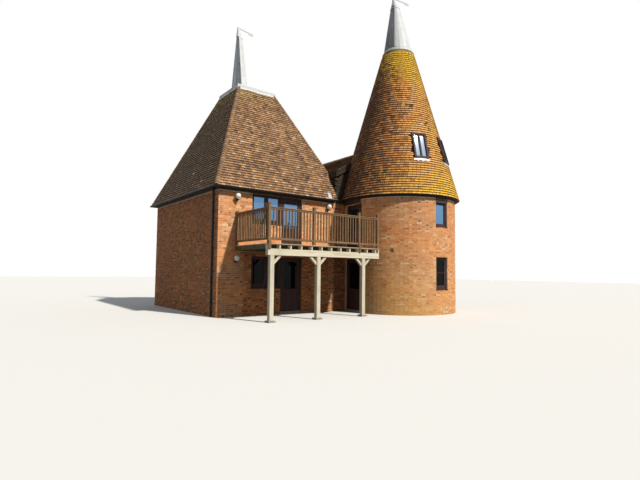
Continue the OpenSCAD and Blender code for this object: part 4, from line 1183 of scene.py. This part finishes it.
# Balcony
def build_deck(look):
    # boards along the front, laid with open joints and cut round the tower
    bm = new_bmesh("tone")
    depth, reach = deck_high.y - deck_low.y, tower_r + 0.005
    pitch = depth / round(depth / BOARD_W)
    for i in range(round(depth / pitch)):
        y0 = deck_low.y + i * pitch
        y1 = y0 + pitch - (0 if y0 + pitch > deck_high.y - 0.01 else BOARD_GAP)
        near = 0 if y0 < tower.y < y1 else min(abs(y0 - tower.y), abs(y1 - tower.y))
        cut = tower.x - math.sqrt(reach ** 2 - near ** 2) if near < reach else deck_high.x
        joint = deck_low.x + deck_length * random.choice((0.35, 0.52, 0.61))
        for a, b in ((deck_low.x, joint - 0.002), (joint + 0.002, min(deck_high.x, cut))):
            top = deck_high.z - random.uniform(0.0, 0.0015)
            timber(bm, (a, y0, deck_low.z), (b, y1, top), 0.003, random.uniform(0.1, 0.8))
    piece("balcony_deck_boards", bm, look, replaces=("balcony_deck",))


def rail_bay(bm, place, length):
    # top and bottom rail and their balusters, along X from a post's face
    one = new_bmesh("tone")
    foot = deck_high.z + RAIL_GAP
    head = RAIL_TOP - 0.085
    timber(one, (0, -0.030, foot), (length, 0.030, foot + LOW_RAIL_H), 0.006, random.uniform(0.1, 0.5))
    timber(one, (0, -0.030, head), (length, 0.030, RAIL_TOP - 0.035), 0.006, 0.4)
    timber(one, (0, -0.0475, RAIL_TOP - 0.034), (length, 0.0475, RAIL_TOP), 0.009, random.uniform(0.0, 0.3))
    gaps = math.ceil(length / BALUSTER_STEP)
    half = BALUSTER_W / 2
    for i in range(1, gaps):
        x = i * length / gaps + random.uniform(-0.003, 0.003)
        tone = random.uniform(0.0, 0.9)
        timber(one, (x - half, -half, foot + LOW_RAIL_H), (x + half, half, head), 0.004, tone)
    merge(bm, one, place)


def newel(bm, x, y, above):
    half, cap = NEWEL_W / 2, NEWEL_W / 2 + 0.008
    top = RAIL_TOP + above
    timber(bm, (x - half, y - half, deck_high.z), (x + half, y + half, top), 0.006, random.uniform(0.0, 0.4))
    timber(bm, (x - cap, y - cap, top), (x + cap, y + cap, top + 0.020), 0.007, 0.2)


def build_railing(look):
    bm = new_bmesh("tone")
    half = NEWEL_W / 2
    y = low("balcony_railing").y + 0.008 + half
    wall_y = high("balcony_railing").y - 0.008 - half
    between = [deck_low.x + share * deck_length for share in NEWEL_SHARES]
    stands = [deck_low.x + half, *between, deck_high.x - half]
    for x in stands:
        newel(bm, x, y, 0.110)
    newel(bm, stands[0], wall_y, 0.040)
    for a, b in zip(stands, stands[1:]):
        rail_bay(bm, moved(a + half, y, 0), b - a - NEWEL_W)
    rail_bay(bm, face_frame(stands[0], y + half, 90), wall_y - y - NEWEL_W)
    # the posts over the beam run down in front of the deck's edge
    front = deck_low.y
    for x in (stands[0], stands[2]):
        foot, top = (x - half, front - 0.012, BEAM_TOP), (x + half, front + 0.020, deck_high.z + 0.09)
        timber(bm, foot, top, 0.004, 0.3)
        for z in (BEAM_TOP + 0.05, BEAM_TOP + 0.12):
            bolt = new_bmesh("tone")
            barrel(bolt, moved(x, front - 0.016, z) @ turned(90, "X"), 0.011, 0.011, 0.010, 6)
            merge(bm, bolt)
    piece("balcony_balustrade", bm, look, replaces=("balcony_railing",))


def build_posts(look):
    # posts with braces up to the beam
    _, y, foot = low("balcony_posts")
    top = high("balcony_posts").z
    half, reach = BRACE_W / 2, BRACE_L * 0.62
    bm = new_bmesh("tone")
    stands = [FIRST_POST, *(share * deck_length for share in POST_SHARES)]
    for along, sides in zip(stands, ((1,), (-1, 1), (-1, 1))):
        x = deck_low.x + along
        timber(bm, (x, y, foot), (x + POST_W, y + POST_W, top), 0.010, random.uniform(0.0, 0.35))
        for side in sides:
            face = x + POST_W if side > 0 else x
            middle = moved(face + side * BRACE_L * 0.40, y + POST_W / 2, top - BRACE_L * 0.40)
            one = new_bmesh("tone")
            timber(one, (-reach, -half, -half), (reach, half, half), 0.007, random.uniform(0.0, 0.4))
            merge(bm, one, middle @ turned(-45 * side, "Y"))
    piece("balcony_posts_braced", bm, look, replaces=("balcony_posts",))


# Lamps, gutters, curb, lead and small fittings
LAMPS = ((west + 0.70, 4.36), (kiln_east - 0.37, 4.36), (west + 0.70, 2.11))
GLOBE_R, GLOBE_DROP, HOLDER_R, HOLDER_H, HOLDER_DROP = 0.100, 0.012, (0.052, 0.044), 0.03, 0.108
GUTTER_R, GUTTER_OUT, BRACKETS, BRACKET_STEP = 0.050, 0.030, 7, 0.85
PIPE_R, COLLAR_R, COLLAR_H, COLLAR_LEVELS = 0.036, (0.043, 0.041), 0.06, (0.02, 1.86, 3.70)
SHEET_T, LEAD_LIFT = 0.004, 0.052
APRON_FALL, APRON_LIFT = 0.075, 0.048
WINDOW_LEAD_W, WINDOW_LEAD_FALL = 0.66, 0.11
PATCH_X, PATCH_UP, PATCH_W, PATCH_L = 2.075, 0.17, 0.18, 0.31


def build_globes(look):
    bm = bmesh.new()
    y = (low("lamp_globes").y + high("lamp_globes").y) / 2
    for x, z in LAMPS:
        spot = moved(x, y, z - GLOBE_DROP)
        bmesh.ops.create_uvsphere(bm, u_segments=32, v_segments=20, radius=GLOBE_R, matrix=spot)
        barrel(bm, moved(x, y, z - HOLDER_DROP), *HOLDER_R, HOLDER_H, 24)
    for face in bm.faces:
        face.smooth = True
    piece("lamp_opal_globes", bm, look, replaces=("lamp_globes",))


def build_gutters(look):
    bm = bmesh.new()
    z = roof_low.z + 0.004
    x, y, end = roof_low.x - GUTTER_OUT, roof_low.y - GUTTER_OUT, kiln_east - 0.01
    runs = (((x - 0.04, y), (end, y)), ((x, -y), (x, y)), ((end, -y), (x - 0.04, -y)))
    for (x0, y0), (x1, y1) in runs:
        start, run = Vector((x0, y0, z)), Vector((x1 - x0, y1 - y0, 0))
        along = run.normalized()
        one = channel(GUTTER_R, 16, lambda z: z > 0.001, run.length)
        thicken(one, SHEET_T)
        merge(bm, one, basis(along.cross(Z), along, Z, start))
    for i in range(BRACKETS):
        at = kiln_east - 0.3 - i * BRACKET_STEP
        timber(bm, (at - 0.010, y - 0.052, z - 0.055), (at + 0.010, y + 0.075, z - 0.040), 0.002, None)
    piece("kiln_gutters", bm, look)


def build_pipe_collars(look):
    (x, y0, _), (_, y1, _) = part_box("kiln_downpipe")
    bm = bmesh.new()
    for z in COLLAR_LEVELS:
        place = moved(x + 0.006 + PIPE_R, (y0 + y1) / 2, z + COLLAR_H / 2)
        barrel(bm, place, *COLLAR_R, COLLAR_H, 24, False)
    thicken(bm, SHEET_T)
    piece("downpipe_collars", bm, look)


def build_curb_apron(look):
    # a white skirt dressed down over the top courses, under the curb
    bm = bmesh.new()
    share = APRON_FALL / roof_rise
    grow_x = rim_half + (foot_x - rim_half) * share
    grow_y = rim_half + (foot_y - rim_half) * share
    bmesh.ops.create_cube(bm, size=2, matrix=scaled(1, 1, 0.5))
    bmesh.ops.delete(bm, geom=[f for f in bm.faces if abs(f.normal.z) > 0.5], context="FACES_ONLY")
    around = [e for e in bm.edges if abs(e.verts[0].co.z - e.verts[1].co.z) < 0.1]
    bmesh.ops.subdivide_edges(bm, edges=around, cuts=15, use_grid_fill=True)
    for vertex in bm.verts:
        foot = vertex.co.z < 0
        lift = APRON_LIFT + (random.uniform(-0.004, 0.004) if foot else 0)
        reach_x = (grow_x if foot else rim_half) + lift
        reach_y = (grow_y if foot else rim_half) + lift
        level = roof_high.z - (APRON_FALL + random.uniform(-0.010, 0.010) if foot else -0.006)
        vertex.co = Vector((vertex.co.x * reach_x, vertex.co.y * reach_y, level))
    thicken(bm, 0.006)
    piece("kiln_curb_apron", bm, look)


def on_cone(angle, z, lift):
    # a point off the cone's face, by its direction, level and distance from it
    return tower + heading(angle) * (cone_r(z) + lift) + Z * z


def build_window_lead(look):
    # a lead apron dressed over the tiles below each roof window
    bm = bmesh.new()
    foot_z = ROOF_WINDOW_Z - ROOF_WINDOW_HALF_L * cone_rise / cone_slant
    for angle in ROOF_WINDOWS:
        one = bmesh.new()
        bmesh.ops.create_grid(one, x_segments=18, y_segments=4, size=0.5)
        for vertex in one.verts:
            x, y = vertex.co.x, vertex.co.y
            z = foot_z + 0.01 - WINDOW_LEAD_FALL * (0.5 - y)
            if y < -0.4:
                z += 0.014 * math.sin(x * 21 + angle) - 0.006 * math.cos(x * 47)
            spread = WINDOW_LEAD_W + 0.04 * (0.5 - y)
            lift = LEAD_LIFT - 0.006 * y + 0.004 * math.sin(x * 33) * (0.5 - y)
            vertex.co = on_cone(math.radians(angle) + x * spread / cone_r(z), z, lift)
        thicken(one, SHEET_T)
        merge(bm, one)
    piece("roof_window_aprons", bm, look)


def build_lead_patch(look):
    # a square of lead dressed over the tiles at the front slope's right corner
    up = Vector((0, foot_y - rim_half, roof_rise)).normalized()
    out = X.cross(up)
    bm = bmesh.new()
    bmesh.ops.create_grid(bm, x_segments=6, y_segments=8, size=0.5)
    for vertex in bm.verts:
        x, y = vertex.co.x, vertex.co.y
        place = Vector((PATCH_X, roof_low.y, roof_low.z)) + up * (PATCH_UP + PATCH_L * y)
        place += X * (PATCH_W * x + 0.02 * y)
        vertex.co = place + out * (LEAD_LIFT + 0.003 * math.sin(19 * y))
    thicken(bm, SHEET_T)
    piece("kiln_lead_patch", bm, look)


# Cowls
KILN_COWL = {
    "node": "kiln_cowl", "body": "kiln_cowl_body", "centre": Vector((-0.310, 0.235, 0)),
    "foot": 9.682, "height": 3.14, "radius": 0.44, "neck": 0.115, "lean": 0.10, "cut": 0.132, "angle": 190,
}
TOWER_COWL = {
    "node": "tower_cowl", "body": "tower_cowl_body", "centre": tower,
    "foot": 11.375, "height": 2.62, "radius": 0.66, "neck": 0.205, "lean": 0.25, "cut": 0.521, "angle": 172,
}
CAP_H, CAP_SHIFT, TIP_R = 0.50, 0.085, 0.045
RING_H, OPENING_END = 0.13, 0.855
COWL_BOARDS, NARROWEST = 24, 0.030
SHELL_T, BOARD_JOINT, BAND_H = 0.025, 0.004, 0.035
CURB_H, CURB_T, CURB_BOARDS, VENT_HALF, COWL_POST_H, COWL_POST_R = 0.140, 0.03, 12, 0.28, 1.6, 0.035


def build_kiln_curb(look):
    # a boarded curb round the vent under the kiln's cowl, with the post on which the cowl turns
    foot, top = roof_high.z + 0.001, roof_high.z + CURB_H
    side = rim_half + 0.045
    inner = side - CURB_T
    axis = KILN_COWL["centre"]
    bm = new_bmesh("tone")
    timber(bm, (-side, -side, foot), (side, -inner, top), 0.012)
    timber(bm, (-side, inner, foot), (side, side, top), 0.012)
    timber(bm, (-side, -inner, foot), (-inner, inner, top), 0.012)
    timber(bm, (inner, -inner, foot), (side, inner, top), 0.012)
    width = 2 * inner / CURB_BOARDS
    for i in range(CURB_BOARDS):
        y0 = -inner + i * width
        y1 = y0 + width - 0.003
        ends = [-inner, inner]
        if y1 > axis.y - VENT_HALF and y0 < axis.y + VENT_HALF:
            ends = [-inner, axis.x - VENT_HALF, axis.x + VENT_HALF, inner]
        for a, b in zip(ends[::2], ends[1::2]):
            timber(bm, (a, y0, top - 0.030), (b, y1, top - 0.004), 0.003, random.uniform(0, 0.6))
    timber(bm, (axis.x - 0.36, axis.y - 0.05, foot), (axis.x + 0.36, axis.y + 0.05, top - 0.03), 0.004)
    middle = moved(axis.x, axis.y, top + COWL_POST_H / 2 - 0.05)
    barrel(bm, middle, COWL_POST_R, COWL_POST_R, COWL_POST_H, 32)
    piece("kiln_curb_boards", bm, look, replaces=("kiln_roof_curb",))


def cowl_boards(cowl):
    # a boarded cone under a sloping cap, open on one side, as a thin shell
    bm = bmesh.new()
    height, lean = cowl["height"], cowl["lean"]
    rings = (cowl["radius"], 0, 0), (cowl["neck"], lean - CAP_SHIFT, height - CAP_H), (TIP_R, lean, height)
    for radius, x, z in rings:
        bmesh.ops.create_circle(bm, radius=radius, segments=COWL_BOARDS, matrix=moved(x, 0, z))
    bmesh.ops.convex_hull(bm, input=bm.verts)
    bmesh.ops.dissolve_limit(bm, angle_limit=math.radians(1), verts=bm.verts, edges=bm.edges)
    bmesh.ops.delete(bm, geom=[f for f in bm.faces if f.normal.z < -0.9], context="FACES_ONLY")
    mouth = Vector((height, 0, cowl["cut"] - lean - 0.02)).normalized()
    start = Vector((cowl["cut"], 0, 0))
    for point, normal in ((start, mouth), (Z * RING_H, Z), (Z * height * OPENING_END, Z)):
        geometry = bm.verts[:] + bm.edges[:] + bm.faces[:]
        bmesh.ops.bisect_plane(bm, geom=geometry, plane_co=point, plane_no=normal)

    def in_mouth(face):
        middle = face.calc_center_median()
        return (middle - start).dot(mouth) > 0 and RING_H < middle.z < height * OPENING_END

    def width(face):
        return face.calc_area() / max(edge.calc_length() for edge in face.edges)

    bmesh.ops.delete(bm, geom=[face for face in bm.faces if in_mouth(face)], context="FACES")
    bmesh.ops.remove_doubles(bm, verts=bm.verts, dist=0.006)
    bmesh.ops.dissolve_degenerate(bm, dist=0.004, edges=bm.edges)
    bmesh.ops.triangulate(bm, faces=[face for face in bm.faces if len(face.verts) > 4])
    boards = [face for face in bm.faces if len(face.verts) == 4 and width(face) > NARROWEST]
    bmesh.ops.inset_individual(bm, faces=boards, thickness=BOARD_JOINT, depth=0.0)
    bmesh.ops.inset_individual(bm, faces=boards, thickness=BOARD_JOINT / 2, depth=BOARD_JOINT)
    thicken(bm, SHELL_T)
    return bm


def build_cowl(cowl, outside_look, inside_look):
    height, lean, centre = cowl["height"], cowl["lean"], cowl["centre"]
    bm = cowl_boards(cowl)
    bm.faces.layers.float.new("tone")
    # the finger with its vane, and the bar across the foot
    trim = new_bmesh("tone")
    tip, bar = lean - 0.83, cowl["radius"] - 0.020
    timber(trim, (tip, -0.014, height - 0.045), (lean, 0.014, height), 0.003)
    timber(trim, (tip - 0.03, -0.009, height - 0.110), (tip + 0.23, 0.009, height), 0.003)
    timber(trim, (-bar, -0.06, 0.02), (bar, 0.06, 0.08), 0.004)
    merge(bm, trim)
    # the band under the cap
    band = bmesh.new()
    low_r, high_r = cowl["neck"] + 0.018, cowl["neck"] + 0.010
    barrel(band, moved(lean - CAP_SHIFT, 0, height - CAP_H), low_r, high_r, BAND_H, COWL_BOARDS, False)
    thicken(band, 0.012)
    merge(bm, band)
    place = Matrix.Translation(centre + Z * cowl["foot"]) @ turned(cowl["angle"], "Z")
    bmesh.ops.transform(bm, matrix=place, verts=bm.verts)
    name = cowl["node"] + "_boards"
    thing = piece(name, bm, outside_look, cowl["body"], replaces=(cowl["node"],))
    thing.data.materials.append(inside_look)
    # the inward faces wear the lightened paint, painted light for the shaded inside
    for face in thing.data.polygons:
        from_axis = face.center - centre
        from_axis.z = 0
        if face.normal.dot(from_axis) < 0 and from_axis.length > 0.05:
            face.material_index = 1


random.seed(11)
aim_camera()
light_the_scene()
lay_floor()

BRICK = brick_shape()
TILE = tile_shape()
BONNET = bonnet_shape()

# The materials, first those of the tiles, each with the foot and the rise of its courses
front_courses = (roof_low.z, KILN_GAUGE * roof_rise / math.hypot(roof_rise, foot_y - rim_half))
side_courses = (roof_low.z, KILN_GAUGE * roof_rise / math.hypot(roof_rise, foot_x - rim_half))
cone_courses = (cone_low.z, CONE_GAUGE * cone_rise / cone_slant)
front_clay = clay_tile_look("kiln tiles", KILN_FIRED, KILN_LICHEN, courses=front_courses)
side_clay = clay_tile_look("kiln side tiles", KILN_FIRED, KILN_LICHEN, courses=side_courses)
kiln_clay = clay_tile_look("hip and stowage tiles", KILN_FIRED, KILN_LICHEN)
cone_clay = clay_tile_look("cone tiles", CONE_FIRED, CONE_LICHEN, (0.54, 0.40, 0.20), cone_courses)
shaded_clay = clay_tile_look("shaded tiles", SHADED_FIRED, SHADED_LICHEN, (0.08, 0.06, 0.045))
bedding = plain_look("tile bedding", 0.9, 0.2, (9.0, 4, *BEDDING), (40.0, 3, 0.4, 0.005))
bricks = brick_look()
mortar = mortar_look("lime mortar")
balcony_shade_mortar = mortar_look("sheltered mortar", painted_shade=True)
west_shade_mortar = mortar_look("west mortar with painted shade", SHADED_WEST_LIME)
white = white_paint_look("white painted boards", WHITE_PAINT)
cowl_inside_lightened = white_paint_look("cowl inside boards with painted light", INSIDE_PAINT_LIGHTENED)
stain = (13.0, 4, *DARK_STAIN, (0.3, 0.72), (1, 1, 0.15))
dark = plain_look("dark stained joinery", 0.6, 0.15, stain, (40.0, 3, 0.2, 0.002, (1, 1, 0.12)))
fascia = plain_look("dark fascia boards", 0.6, 0.3, (6.0, 5, *FASCIA_WITH_EAVES_SHADE, (0.3, 0.72)), (30.0, 3, 0.2, 0.002))
kiln_plate = plate_look("kiln plate", KILN_BRICK_TOP)
oak_up = timber_look("weathered oak upright", WEATHERED_OAK, UPRIGHT, green=0.30)
oak_along = timber_look("weathered oak level", WEATHERED_OAK, LEVEL, green=0.30)
deck_oak = timber_look("deck boards", DECK_OAK, LEVEL, green=0.25)
guard = timber_look("guard timber", GUARD_TIMBER, ALONG_BALUSTERS, green=0.12)
floor_boards = timber_look("floor boards", FLOOR_BOARDS, DEEP, 0.7)
glass = glass_look()
opal = opal_look()
iron = plain_look("black iron", 0.6, 0.2, (22.0, 4, *IRON, (0.3, 0.75)), (90.0, 3, 0.2, 0.001))
lead = plain_look("sheet lead", 0.5, 0.5, (6.0, 5, *LEAD, (0.25, 0.75)), (18.0, 4, 0.4, 0.004), 0.25)
screed = plain_look("floor screed", 0.9, 0.2, (5.0, 5, *SCREED), (50.0, 3, 0.3, 0.003))

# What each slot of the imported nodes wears, and the nodes with a finish of their own
FINISH = {
    "brick": mortar,
    "roof_tile": bedding,
    "white_timber": white,
    "dark_timber": dark,
    "weathered_oak": oak_along,
    "guard_timber": guard,
    "glass": glass,
    "black_metal": iron,
    "lead": lead,
    "floor": screed,
    "lamp_globe": opal,
}
OWN_FINISH = {
    "kiln_wall_front_left": balcony_shade_mortar,
    "kiln_wall_front_right": balcony_shade_mortar,
    "kiln_wall_west": west_shade_mortar,
    "kiln_wall_plate": kiln_plate,
    "tower_wall_plate": plate_look("tower plate", TOWER_BRICK_TOP),
    "stow_wall_link": link_mortar_look(),
    "stow_roof": shaded_clay,
    "balcony_frame": framing_look(),
    "balcony_posts": oak_up,
    "floor_upper": floor_boards,
    "tower_roof_curb": mossy_shaded_curb_look(),
}
for part in frame["record"]["subparts"]:
    finish = OWN_FINISH.get(part["node"], FINISH[part["material_slot"]])
    for slot in frame["nodes"][part["node"]].material_slots:
        slot.material = finish

build_brickwork(bricks)
build_stowage_bricks(bricks)
build_kiln_tiles(front_clay, side_clay)
build_cone_tiles(cone_clay)
build_stowage_tiles(kiln_clay)
build_hips(kiln_clay)
build_ridge(kiln_clay)
build_link_tiles(shaded_clay)
build_fascia(fascia)
build_gutters(iron)
build_pipe_collars(iron)
build_window_frames(dark)
build_sashes(dark)
build_added_panes(glass)
build_kiln_plate(kiln_plate)
build_deck(deck_oak)
build_railing(guard)
build_curb_apron(white)
build_window_lead(lead)
build_lead_patch(lead)
build_tower_vent(iron)
build_posts(oak_up)
build_globes(opal)
build_kiln_curb(white)
build_cowl(KILN_COWL, white, cowl_inside_lightened)
build_cowl(TOWER_COWL, white, cowl_inside_lightened)
